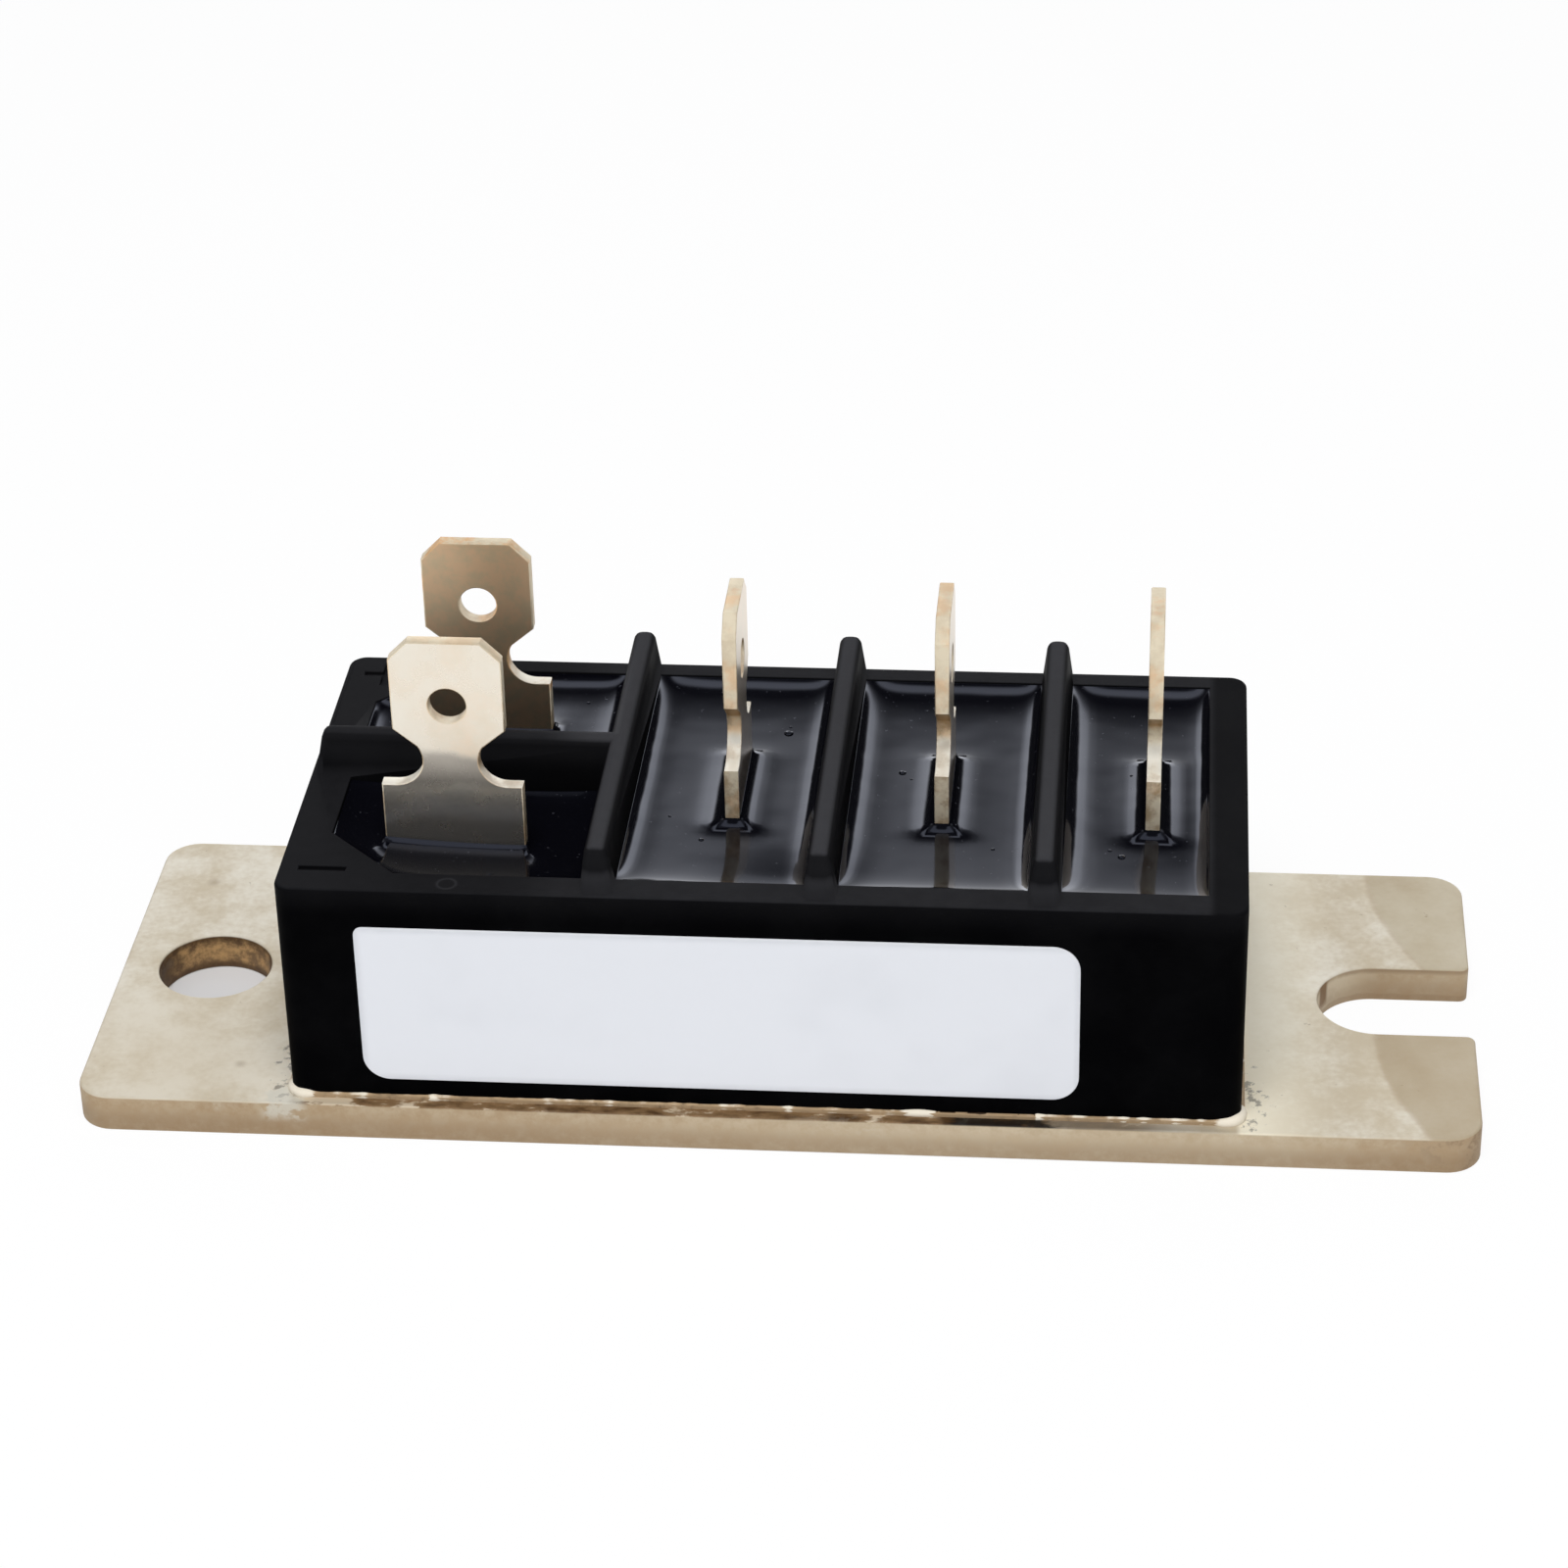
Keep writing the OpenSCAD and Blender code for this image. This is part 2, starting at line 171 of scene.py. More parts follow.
class PlateSettings(bpy.types.PropertyGroup):
    """Sizes and colours of the base plate."""

    hole_radius: length("Hole radius", "Radius of the round mounting hole", 3.25)
    slot_radius: length("Slot radius", "Half the width of the open slot", 3.35)
    corner_radius: length("Corner radius", "Radius of the plate's corners", 2.0)
    mouth_radius: length("Mouth radius", "Radius of the corners where the slot opens", 0.5)
    top_edge: length("Top edge", "Rounding that the punch left on the upper edge", 0.16)
    low_edge: length("Lower edge", "Rounding of the lower edge", 0.12)
    colour: tint("Colour", "Nickel finish", 232, 226, 211)
    warm: tint("Warm patches", "Warmer patches of the finish", 204, 190, 164)
    stained: tint("Stained end", "Finish past the tide marks at the slot end", 193, 180, 153)
    side: tint("Sheared side", "Sides where the plate was sheared", 170, 145, 112)
    hole_wall: tint("Hole wall", "Wall of the round hole", 204, 164, 110)
    # Painted light: a lighter finish painted beside the frame at the slot end, against the frame's shade
    clean: tint("Clean", "Clean finish beside the frame", 255, 247, 224)
    pale: tint("Pale soil", "Pale adhesive on the ledge in front of the frame", 214, 198, 172)
    grey: tint("Grey soil", "Grey end of the soiled ledge", 136, 126, 110)
    scorched: tint("Brown soil", "Dark brown of the ledge and of the hole's edges", 78, 54, 29)
    soot: tint("Black soil", "Darkest stretch of the ledge", 26, 18, 10)
    wiped: tint("Wiped adhesive", "Thin adhesive at the frame's front left corner", 210, 206, 192)
    rust: tint("Rust", "Brown specks", 132, 104, 72)
    smudge: tint("Smudge", "Dark specks beside the frame", 74, 70, 66)


class FrameSettings(bpy.types.PropertyGroup):
    """Sizes and colours of the black frame."""

    rib_edge: length("Rib edge", "Rounding of the ribs' tops", 0.5)
    rim_edge: length("Rim edge", "Rounding of the frame's outer edges", 0.22)
    fine_edge: length("Fine edge", "Rounding of the inner and lower edges", 0.09)
    colour: tint("Colour", "Black moulding", 2, 2, 3)
    worn: tint("Worn", "Paler patches of the moulding", 7, 7, 8)
    # Dust and a painted sheen on faces that look up
    dust_and_sheen: tint("Dusty", "Dust on faces that look up", 59, 59, 62)


class PottingSettings(bpy.types.PropertyGroup):
    """Sizes and colours of the hard filling."""

    rise: length("Rise", "Height that the filling draws up at the walls", 0.62)
    sag: length("Sag", "Depth of the middle of a cell below the filling's usual level", 0.24)
    dish: share("Dish", "How far the face curves up towards both ends of a cell", 0.24)
    fineness: length("Fineness", "Distance between the points of the filling's face", 0.45)
    flatness: share("Flatness", "Height of a bubble's dome in its radius", 0.45)
    colour: tint("Colour", "Black resin", 7, 7, 12)
    dust: tint("Dust", "Fine dust on the resin", 90, 92, 100)


class TabSettings(bpy.types.PropertyGroup):
    """Sizes and colours of the five tabs."""

    blade: length("Blade", "Width of a blade", 6.2)
    thickness: length("Thickness", "Thickness of a tab", 0.8)
    shoulder: length("Shoulder", "Width of the shoulder under a blade", 7.8)
    leg: length("Leg", "Width of the leg in the filling", 3.0)
    foot: length("Foot", "Length of the foot on its track", 3.0)
    corner: length("Corner", "Corner cut at the top", 1.1)
    notch: length("Notch", "Radius of the notches at the neck", 1.55)
    slope: FloatProperty(name="Slope", description="Slope of the blade's lower corners",
                         default=math.radians(40), subtype="ANGLE")
    hole: length("Hole", "Radius of the hole", 1.05)
    hole_drop: length("Hole drop", "Distance from the top to the hole", 3.9)
    edge: length("Edge", "Rounding of the sheared edges", 0.07)
    colour: tint("Colour", "Tin plating", 241, 234, 220)
    tarnish: tint("Tarnish", "Tarnished patches", 242, 199, 150)
    bronze: tint("Bronze", "Darker patches of the tarnish", 224, 194, 148)
    sheared: tint("Sheared edge", "Bright sheared edges", 242, 229, 202)
    # Brown spots, and the painted shade on edges that look down
    umber_and_shade: tint("Umber", "Brown spots on the sheared edges", 160, 122, 72)
    # Painted shade on the front tab's neck
    neck_shade: tint("Dull", "Dull plating at the front tab's neck", 177, 170, 160)
    # Painted highlight on edges of the notches that look up
    bright: tint("Bright edge", "Edges of the notches that look up", 255, 249, 234)


class LabelSettings(bpy.types.PropertyGroup):
    """Sizes and colours of the label."""

    corner: length("Corner radius", "Radius of three of the corners", 1.5)
    first_corner: length("First corner radius", "Radius of the upper left corner", 0.5)
    edge: length("Edge", "Rounding of the sheet's front edge", 0.04)
    colour: tint("Colour", "Bare pale sheet", 223, 225, 229)
    soiled: tint("Soiled", "Soiled rim of the sheet", 196, 198, 202)


class AdhesiveSettings(bpy.types.PropertyGroup):
    """Sizes and colours of the adhesive under the frame."""

    bead: length("Bead", "Usual radius of the adhesive pressed out", 0.2)
    pale: tint("Pale", "Thick adhesive", 226, 217, 199)
    amber: tint("Amber", "Thin adhesive", 172, 147, 115)
    scorched: tint("Dark", "Gaps in the adhesive", 48, 34, 22)


class StageSettings(bpy.types.PropertyGroup):
    """Light and floor."""

    lamp: number("Lamp", "Power of the soft lamp above, in watts", 2.2)
    rear: number("Rear light", "Brightness of the room behind the part", 1.0)
    front: number("Front light", "Brightness of the room in front of the part", 0.95)
    side: number("Side light", "Brightness of the room beside the part", 0.2)
    above: number("Light above", "Brightness of the narrow light above the part", 1.25)
    floor: tint("Floor", "Pale floor", 240, 240, 241)
    # Painted shade: the floor's colour under the round hole
    under: tint("Floor under the hole", "Floor that shows through the round hole", 212, 211, 211)
    floor_glow: share("Floor glow", "How far the camera sees the floor as plain white", 0.92)


def maths(operation, reflected=False):
    """An operator that adds a Math node. A reflected one takes its two values the other way round."""
    def method(self, other=0.0):
        first, second = (other, self) if reflected else (self, other)
        return self.node("ShaderNodeMath", {0: first, 1: second}, operation=operation)
    return method


class Flow:
    """A socket of a node tree. Sums of such sockets add Math nodes to the tree."""

    __add__ = __radd__ = maths("ADD")
    __mul__ = __rmul__ = maths("MULTIPLY")
    __sub__ = maths("SUBTRACT")
    __rsub__ = maths("SUBTRACT", True)
    __truediv__ = maths("DIVIDE")
    __lt__ = maths("LESS_THAN")
    __abs__ = maths("ABSOLUTE")
    most = maths("MAXIMUM")
    root = maths("SQRT")

    def __init__(self, tree, socket=None):
        self.tree = tree
        self.socket = socket

    def node(self, kind, inputs=None, output=0, **settings):
        """Adds a node: its settings come first, then the values or links of its sockets."""
        made = self.tree.nodes.new(kind)
        stops = settings.pop("stops", ())
        for name, value in settings.items():
            setattr(made, name, value)
        for _ in stops[2:]:
            made.color_ramp.elements.new(0.5)
        for i, (place, grey) in enumerate(stops):
            made.color_ramp.elements[i].position = place
            made.color_ramp.elements[i].color = (grey, grey, grey, 1.0)
        for name, value in (inputs or {}).items():
            if isinstance(value, Flow):
                self.tree.links.new(value.socket, made.inputs[name])
            else:
                made.inputs[name].default_value = value
        return Flow(self.tree, made.outputs[output] if made.outputs else None)

    def feed(self, target):
        """Links this socket to a socket of another node."""
        self.tree.links.new(self.socket, target)

    def ease(self, start, end):
        """Goes smoothly from 0 at start to 1 at end."""
        return self.node("ShaderNodeMapRange", {"Value": self, "From Min": start, "From Max": end},
                         interpolation_type="SMOOTHSTEP")

    def fade(self, start, end):
        """Goes smoothly from 1 at start to 0 at end."""
        return 1.0 - self.ease(start, end)

    def parts(self):
        """The three parts of a vector."""
        return [self.node("ShaderNodeSeparateXYZ", {0: self}, axis) for axis in range(3)]

    def place(self, scale=(1.0, 1.0, 1.0)):
        """Where the surface is, in metres, stretched by scale."""
        where = self.node("ShaderNodeTexCoord", output="Object")
        return self.node("ShaderNodeMapping", {"Vector": where, "Scale": scale})

    def millimetres(self):
        """Where the surface is along X, Y and Z, in millimetres."""
        return self.place((1 / MM,) * 3).parts()

    def facing(self):
        """The direction that the surface faces."""
        return self.node("ShaderNodeNewGeometry", output="Normal")

    def mark(self, name):
        """A named number that the surface carries."""
        return self.node("ShaderNodeAttribute", output="Fac", attribute_name=name)

    def ray(self, kind):
        """1 for what is seen by one kind of ray."""
        return self.node("ShaderNodeLightPath", output="Is %s Ray" % kind)

    def cloud(self, scale, detail=4.0, rough=0.55, where=None):
        """Soft noise from 0 to 1, with scale patches in a metre."""
        return self.node("ShaderNodeTexNoise", {
            "Vector": where or self.place(), "Scale": scale, "Detail": detail, "Roughness": rough})

    def blend(self, first, second):
        """A colour from first, where this is 0, to second, where it is 1. Plain ones are screen colours."""
        ends = [end if isinstance(end, Flow) else linear(end) for end in (first, second)]
        return self.node("ShaderNodeMix", {0: self, 6: ends[0], 7: ends[1]}, 2, data_type="RGBA")

    def bump(self, strength, height):
        """A normal that follows this as a height in millimetres."""
        return self.node("ShaderNodeBump", {"Strength": strength, "Distance": height * MM, "Height": self})


def linear(colour):
    """A screen colour as the linear colour that a shader reads."""
    return [c / 12.92 if c <= 0.04045 else ((c + 0.055) / 1.055) ** 2.4 for c in colour] + [1.0]


def new_finish(name, constants):
    """A new material with some plain values on its shader, and the start of its tree."""
    material = bpy.data.materials.new(name)
    material.use_nodes = True
    for label, value in constants.items():
        material.node_tree.nodes["Principled BSDF"].inputs[label].default_value = value
    return material, Flow(material.node_tree)


def dress(material, colour, rough, normal=None, metal=None):
    """Feeds patterns to the shader of a material."""
    sockets = material.node_tree.nodes["Principled BSDF"].inputs
    fed = {"Base Color": colour, "Roughness": rough, "Normal": normal, "Metallic": metal}
    for label, flow in fed.items():
        if flow:
            flow.feed(sockets[label])
    return material


def bare_tree(owner):
    """The start of the emptied node tree of a material or a world."""
    owner.use_nodes = True
    owner.node_tree.nodes.clear()
    return Flow(owner.node_tree)


def near(x, y, where, radius):
    """1 at a point of the plan, falling to 0 at radius from it."""
    dx = x - where[0]
    dy = y - where[1]
    return (dx * dx + dy * dy).root().fade(0.0, radius)


def plate_face(settings, x, y, tone, patches):
    """Nickel with warm patches, painted light beside the frame, and stained at the slot end."""
    colour = tone.ease(0.5, 0.8).blend(settings.colour, settings.warm)
    colour = (near(x, y, (-34.0, -10.0), 14.0) * 0.5).blend(colour, settings.warm)
    # Painted light: the finish is painted lighter beside the frame at the slot end, to cancel the frame's
    # shade there
    beyond = x - FRAME_HIGH.x
    clean = beyond.ease(-0.35, 0.05) * beyond.fade(-0.05, 5.95)
    colour = (clean * 0.8).blend(colour, settings.clean)
    # Two tide marks curve from the slot end's edges towards its corners
    front = y < 0.0
    turn = (13.3 - y - 17.2 * front) / 9.45
    past = x - 33.5 - 2.6 * turn * turn + (patches - 0.5) * 0.6
    tide = past.ease(-0.2, 0.3)
    colour = (tide * (0.6 + 0.4 * patches)).blend(colour, settings.stained)
    colour = (tide * patches.ease(0.45, 0.75) * 0.4).blend(colour, settings.side)
    colour = (tide * front * 0.3).blend(colour, settings.side)
    return (abs(past).fade(0.0, 0.3) * 0.25).blend(colour, settings.side)


def plate_specks(settings, x, y, specks, colour):
    """Dark specks along the frame's walls at its front corners, and brown ones all over."""
    behind = y - FRAME_LOW.y
    out = abs(x - (FRAME_LOW.x + FRAME_HIGH.x) / 2) - (FRAME_HIGH.x - FRAME_LOW.x) / 2
    strip = behind.ease(-1.3, 0.3) * behind.fade(3.9, 6.4) * out.ease(-0.2, 0.1) * out.fade(0.3, 1.9)
    corner = near(x, y, (-27.2, -12.9), 2.0) * (y - PLATE_LOW.y).ease(0.0, 0.1)
    dark = (specks + 0.14 * strip).ease(0.62, 0.72) * strip.ease(0.0, 0.3).most(corner)
    colour = (dark * 0.6).blend(colour, settings.smudge)
    stray = near(x, y, (-35.5, 9.1), 0.6).most(near(x, y, (-30.2, -9.9), 0.5))
    colour = (stray * 0.35).blend(colour, settings.rust)
    return (specks.ease(0.69, 0.78) * 0.5).blend(colour, settings.rust)


def plate_ledge(settings, flow, x, y, colour):
    """The soiled ledge in front of the frame: brown, nearly black over a short stretch, then grey."""
    ledge = (y - FRAME_LOW.y).fade(0.0, 0.2) * (x - FRAME_LOW.x).ease(-0.15, 0.45)
    ledge = ledge * (1.0 - 0.6 * x.ease(19.0, 24.0) - 0.4 * x.ease(23.5, 26.5))
    streaks = flow.cloud(1100.0, 4.0, 0.65, flow.place((0.45, 1.0, 1.0)))
    soil = streaks + 0.1 * x.fade(-19.5, -16.5)
    soiled = soil.ease(0.35, 0.6).blend(settings.scorched, settings.rust)
    soiled = (soil.ease(0.58, 0.68) * 0.9).blend(soiled, settings.pale)
    soiled = (x.ease(14.7, 15.5) * 0.7).blend(soiled, settings.grey)
    ragged = x + 4.0 * (streaks - 0.5)
    bare = ragged.ease(9.2, 10.2) * ragged.fade(14.7, 15.7)
    soot = streaks.ease(0.5, 0.64).blend(settings.soot, settings.scorched)
    return ledge.blend(colour, bare.blend(soiled, soot))


def plate_sides(settings, x, y, z, mottle, drift):
    """The sheared sides: duller, paler to the right, and browner towards the bottom and one corner."""
    paler = x.ease(-30.0, 15.0) * x.fade(27.0, 33.0)
    worn = mottle.ease(0.3, 0.8) * 0.5 + drift.ease(0.4, 0.7) * 0.2 + paler * 0.28
    colour = worn.blend(settings.side, settings.warm)
    low = (mottle * 1.4 + 1.1 - z).ease(0.0, 1.2) * 0.4
    stain = near(x, y, (38.0, -13.0), 5.0) * mottle.ease(0.42, 0.6) * 0.7
    # The slot's wall is dark along its edges, and its round end is paler, with one brown spot
    slot = x.ease(29.0, 29.4) * abs(y).fade(3.6, 3.9)
    rims = (z + 0.5 * mottle).ease(2.0, 2.4) + (z - 0.4 * mottle).fade(0.2, 0.5)
    colour = (slot * x.fade(31.2, 34.0) * 0.9).blend(colour, settings.warm)
    colour = low.most(stain).most(slot * rims * 0.6).blend(colour, settings.rust)
    spot = near(x, y, (30.62, 1.5), 0.8).ease(0.1, 0.7) * (z + (mottle - 0.5)).ease(0.3, 1.0)
    colour = spot.blend(colour, settings.rust)
    # The hole's wall is brown, and dark along its edges and towards both ends of the plate
    hole = near(x, y, (HOLE_X, 0.0), 7.0).ease(0.48, 0.52)
    ends = (abs(x - HOLE_X) + (mottle - 0.5)).ease(2.1, 3.1)
    rims = (z + 0.8 * (mottle - 0.5)).ease(1.4, 2.1) + z.fade(0.2, 0.7)
    wall = mottle.ease(0.35, 0.65).blend(settings.hole_wall, settings.rust)
    wall = (rims.most(ends) * 0.85).blend(wall, settings.scorched)
    return hole.blend(colour, wall)


def plate_finish(settings):
    """Satin nickel with sheared sides, stained and soiled in places."""
    material, flow = new_finish("plate_nickel", {"Metallic": 0.3})
    x, y, z = flow.millimetres()
    side = abs(flow.facing().parts()[2]).fade(0.35, 0.85)
    patches = flow.cloud(200.0, 5.0, 0.56)
    drift = flow.cloud(45.0, 2.0)
    grain = flow.cloud(2600.0, 2.0)
    specks = flow.cloud(1700.0, 3.0, 0.6)
    mottle = flow.cloud(1300.0, 5.0, 0.7)
    tone = patches * 0.75 + drift * 0.35 + grain * 0.2
    colour = plate_face(settings, x, y, tone, patches)
    colour = plate_specks(settings, x, y, specks, colour)
    colour = plate_ledge(settings, flow, x, y, colour)
    colour = side.blend(colour, plate_sides(settings, x, y, z, mottle, drift))
    # Adhesive was wiped over the front left corner of the foot
    smear = near(x, y, (-27.1, -13.1), 1.9) + (patches - 0.5) * 0.8
    wiped = (smear - 0.5 * specks.ease(0.45, 0.6)).ease(0.0, 0.6)
    colour = (wiped * z.ease(0.8, 1.6) * 0.75).blend(colour, settings.wiped)
    relief = grain * 0.5 + specks * 0.4 + mottle * side
    return dress(material, colour, 0.42 + 0.16 * patches + 0.1 * side, relief.bump(0.25, 0.03))


def frame_finish(settings):
    """Black satin moulding with a fine grain, and dust with a painted sheen on what looks up."""
    material, flow = new_finish("frame_moulding", {"Specular IOR Level": 0.012})
    x, y, z = flow.millimetres()
    up = flow.facing().parts()[2].ease(0.5, 0.95)
    patches = flow.cloud(220.0, 4.0, 0.6)
    dust = flow.cloud(900.0, 5.0, 0.65)
    grain = flow.cloud(6000.0, 2.0)
    colour = patches.ease(0.35, 0.75).blend(settings.colour, settings.worn)
    # Painted sheen and dust: faces that look up are painted paler, the more so the higher they stand, and
    # faces from a little below the rim upwards are painted a little paler whatever way they face
    high = (z - RIM_Z).ease(0.5, 2.0)
    edge = (z - RIM_Z).ease(-1.8, 0.0)
    # Less dust and less painted sheen lie on both ends
    left_end = x.fade(-14.0, -10.5)
    right_end = x.ease(23.6, 24.2)
    thick = 0.24 + 0.25 * dust + high * (0.45 - 0.25 * left_end)
    lying = up * thick * (1.0 - 0.4 * left_end - 0.7 * right_end)
    colour = lying.most(0.07 * edge + 0.1 * high).blend(colour, settings.dust_and_sheen)
    # A faint round mark stands on the front wall's top
    ring = abs(near(x, y, (-17.4, -11.7), 0.8) - 0.3).fade(0.0, 0.25)
    colour = (ring * up * 0.35).blend(colour, settings.dust_and_sheen)
    relief = grain * 0.6 + patches * 0.4 + ring * 0.6
    return dress(material, colour, 0.42 + 0.2 * dust, relief.bump(0.25, 0.02))


def potting_finish(settings):
    """Black glossy resin with a slow wave in its face and a little dust."""
    constants = {"IOR": 1.52, "Specular Tint": (0.72, 0.78, 1.0, 1.0)}
    material, flow = new_finish("potting_resin", constants)
    wave = flow.cloud(170.0, 2.0, 0.5)
    dust = flow.cloud(3800.0, 2.0, 0.5).ease(0.69, 0.76)
    haze = flow.cloud(320.0, 4.0, 0.6)
    colour = (dust * 0.25).blend(settings.colour, settings.dust)
    return dress(material, colour, 0.06 + 0.06 * haze + 0.2 * dust, wave.bump(0.1, 0.6))


def tab_finish(settings):
    """Tin plating over brass with tarnish and bright sheared edges, with painted shade on the front tab's
    neck and on edges that look down, and a painted highlight on edges that look up.
    """
    material, flow = new_finish("tab_plating", {})
    y, z = flow.millimetres()[1:]
    patches = flow.cloud(330.0, 5.0, 0.6)
    bloom = flow.cloud(120.0, 3.0, 0.5)
    drawn = flow.cloud(2400.0, 2.0, 0.5, flow.place((1.0, 1.0, 0.08)))
    mottle = flow.cloud(750.0, 4.0, 0.65).ease(0.4, 0.64)
    sheared = flow.mark("sheared")
    # How far a tab is tarnished; on the plus tab this is partly painted shade
    age = flow.mark("age")
    spots = (patches * 0.6 + bloom * 0.5).ease(0.48, 0.8)
    tarnish = (age * 0.9).most(spots * (0.32 + 0.4 * age))
    colour = tarnish.blend(settings.colour, mottle.blend(settings.tarnish, settings.bronze))
    # Painted shade: the front tab's neck is painted greyer than its blade
    uneven = z - SHOULDER_HIGH + 1.4 * (patches - 0.5)
    neck = uneven.ease(-0.4, 0.4) * uneven.fade(1.6, 2.4)
    neck_shade = neck * y.fade(-5.2, -5.0) * (0.75 + 0.3 * patches)
    colour = neck_shade.blend(colour, settings.neck_shade)
    lower = z.fade(19.5, 24.5)
    edge = (patches.ease(0.46, 0.6) * (0.35 + age)).blend(settings.sheared, settings.tarnish)
    edge = (mottle * (0.18 + 0.45 * lower)).blend(edge, settings.umber_and_shade)
    # Painted shade and painted highlight: the notches are painted brown where they look down and bright
    # where they look up
    tilt = flow.facing().parts()[2]
    edge = (tilt.fade(-0.6, -0.15) * 0.85).blend(edge, settings.umber_and_shade)
    edge = (tilt.ease(0.1, 0.5) * lower * (1.0 - 0.4 * mottle)).blend(edge, settings.bright)
    rough = 0.26 + 0.14 * tarnish + 0.2 * sheared
    relief = drawn * 0.6 + patches * 0.4
    metal = 0.95 - 0.37 * sheared
    return dress(material, sheared.blend(colour, edge), rough, relief.bump(0.12, 0.02), metal)


def label_finish(settings):
    """A bare pale sheet with a soiled rim."""
    material, flow = new_finish("label_sheet", {"Specular IOR Level": 0.35})
    x, z = flow.millimetres()[::2]
    fibre = flow.cloud(2400.0, 3.0, 0.6, flow.place((0.5, 1.0, 1.0)))
    shade = flow.cloud(90.0, 3.0)
    middle = (LABEL_LOW + LABEL_HIGH) / 2
    half = (LABEL_HIGH - LABEL_LOW) / 2
    out = (abs(x - middle.x) - half.x).most(abs(z - middle.z) - half.z)
    rim = out.ease(-0.5, 0.0) * (0.4 + 0.6 * fibre)
    soil = (rim * 0.7).most(shade.ease(0.55, 0.8) * 0.25)
    colour = soil.blend(settings.colour, settings.soiled)
    relief = fibre * 0.4 + shade * 0.6
    return dress(material, colour, 0.45 + 0.2 * fibre, relief.bump(0.12, 0.04))


def adhesive_finish(settings):
    """Cured adhesive, amber where it is thin and pale where it is thick."""
    material, flow = new_finish("cured_adhesive", {"Specular IOR Level": 0.5})
    grit = flow.cloud(1300.0, 4.0, 0.65)
    mixed = flow.mark("tone") + (grit - 0.5) * 0.9
    colour = mixed.ease(0.05, 0.4).blend(settings.scorched, settings.amber)
    colour = mixed.ease(0.45, 0.8).blend(colour, settings.pale)
    return dress(material, colour, 0.3 + 0.3 * grit, grit.bump(0.4, 0.1))


def inner_finish(name, light, dark, scale, constants):
    """A finish of two tones for the sealed pieces."""
    material, flow = new_finish(name, constants)
    grain = flow.cloud(scale, 4.0, 0.6)
    tones = [[c / 255 for c in colour] for colour in (light, dark)]
    return dress(material, grain.ease(0.3, 0.7).blend(*tones), 0.3 + 0.25 * grain)


def pairs(loop):
    """Each item of a closed loop with the next one."""
    return zip(loop, loop[1:] + loop[:1])


def arc(centre, radius, start, end, steps):
    """Points on an arc, with both ends."""
    return [
        Vector((centre[0] + radius * math.cos(a), centre[1] + radius * math.sin(a)))
        for a in (math.radians(start + (end - start) * i / steps) for i in range(steps + 1))
    ]


def rounded_box(low, high, radii, steps=8):
    """A counter-clockwise outline with a radius at each corner, from the lower left one on."""
    corners = ((low[0], low[1]), (high[0], low[1]), (high[0], high[1]), (low[0], high[1]))
    inward = ((1, 1), (-1, 1), (-1, -1), (1, -1))
    points = []
    for i, (corner, way, radius) in enumerate(zip(corners, inward, radii)):
        centre = (corner[0] + way[0] * radius, corner[1] + way[1] * radius)
        points += arc(centre, radius, 180 + 90 * i, 270 + 90 * i, steps)
    return points


def inset(loop, distance):
    """A closed loop moved to its left by distance: the material lies on its left."""
    moved = []
    for before, point, after in zip(loop[-1:] + loop[:-1], loop, loop[1:] + loop[:1]):
        into = (point - before).normalized()
        out = (after - point).normalized()
        first = Vector((-into.y, into.x))
        second = Vector((-out.y, out.x))
        middle = (first + second).normalized()
        moved.append(point + middle * (distance / max(middle.dot(first), 0.35)))
    return moved


def edge_counts(corners, spacing, least=2):
    """How many points stand on each edge of a closed outline, about spacing apart."""
    return [max(least, round((b - a).length / spacing)) for a, b in pairs(corners)]


def split_edges(corners, counts):
    """Points along the edges of a closed outline."""
    points = []
    for (first, second), count in zip(pairs(corners), counts):
        points += [first.lerp(second, i / count) for i in range(count)]
    return points


def edge_profile(depth, low_edge, high_edge, steps=4):
    """Inset and height of each ring of a plate with rounded edges."""
    turns = [math.pi / 2 * i / steps for i in range(steps + 1)]
    low = [(low_edge * (1 - math.sin(t)), low_edge * (1 - math.cos(t))) for t in turns]
    high = [(high_edge * (1 - math.cos(t)), depth - high_edge * (1 - math.sin(t))) for t in turns]
    return low + high


def add_rings(bm, rings, mark=None):
    """Joins rings of vertices with faces."""
    for lower, upper in zip(rings, rings[1:]):
        for (a, b), (c, d) in zip(pairs(lower), pairs(upper)):
            face = bm.faces.new((a, b, d, c))
            face.smooth = True
            if mark:
                face[mark] = 1.0


def lying(a, b, height):
    """A point of an outline that lies flat."""
    return a, b, height


def add_slab(bm, loops, profile, put=lying, mark=None):
    """A closed plate from outlines that keep the material on their left."""
    stacks = []
    for loop in loops:
        stacks.append([[bm.verts.new(put(p.x, p.y, h)) for p in inset(loop, d)] for d, h in profile])
        add_rings(bm, stacks[-1], mark)
    for end in (0, -1):
        flat = [[p.to_3d() for p in inset(loop, profile[end][0])] for loop in loops]
        vertices = [v for stack in stacks for v in stack[end]]
        for corners in tessellate_polygon(flat):
            bm.faces.new([vertices[i] for i in corners])


def grid_points(outer, hole, spacing):
    """Points of a square grid inside a convex outline and outside a box."""
    low, high = hole[0], hole[2]
    xs = [p.x for p in outer]
    ys = [p.y for p in outer]
    points = []
    for i in range(math.ceil((max(xs) - min(xs)) / spacing)):
        for j in range(math.ceil((max(ys) - min(ys)) / spacing)):
            point = Vector((min(xs) + (i + 0.5) * spacing, min(ys) + (j + 0.5) * spacing))
            kept = all((b - a).cross(point - a) > 0 for a, b in pairs(outer))
            if kept and not (low.x < point.x < high.x and low.y < point.y < high.y):
                points.append(point)
    return points


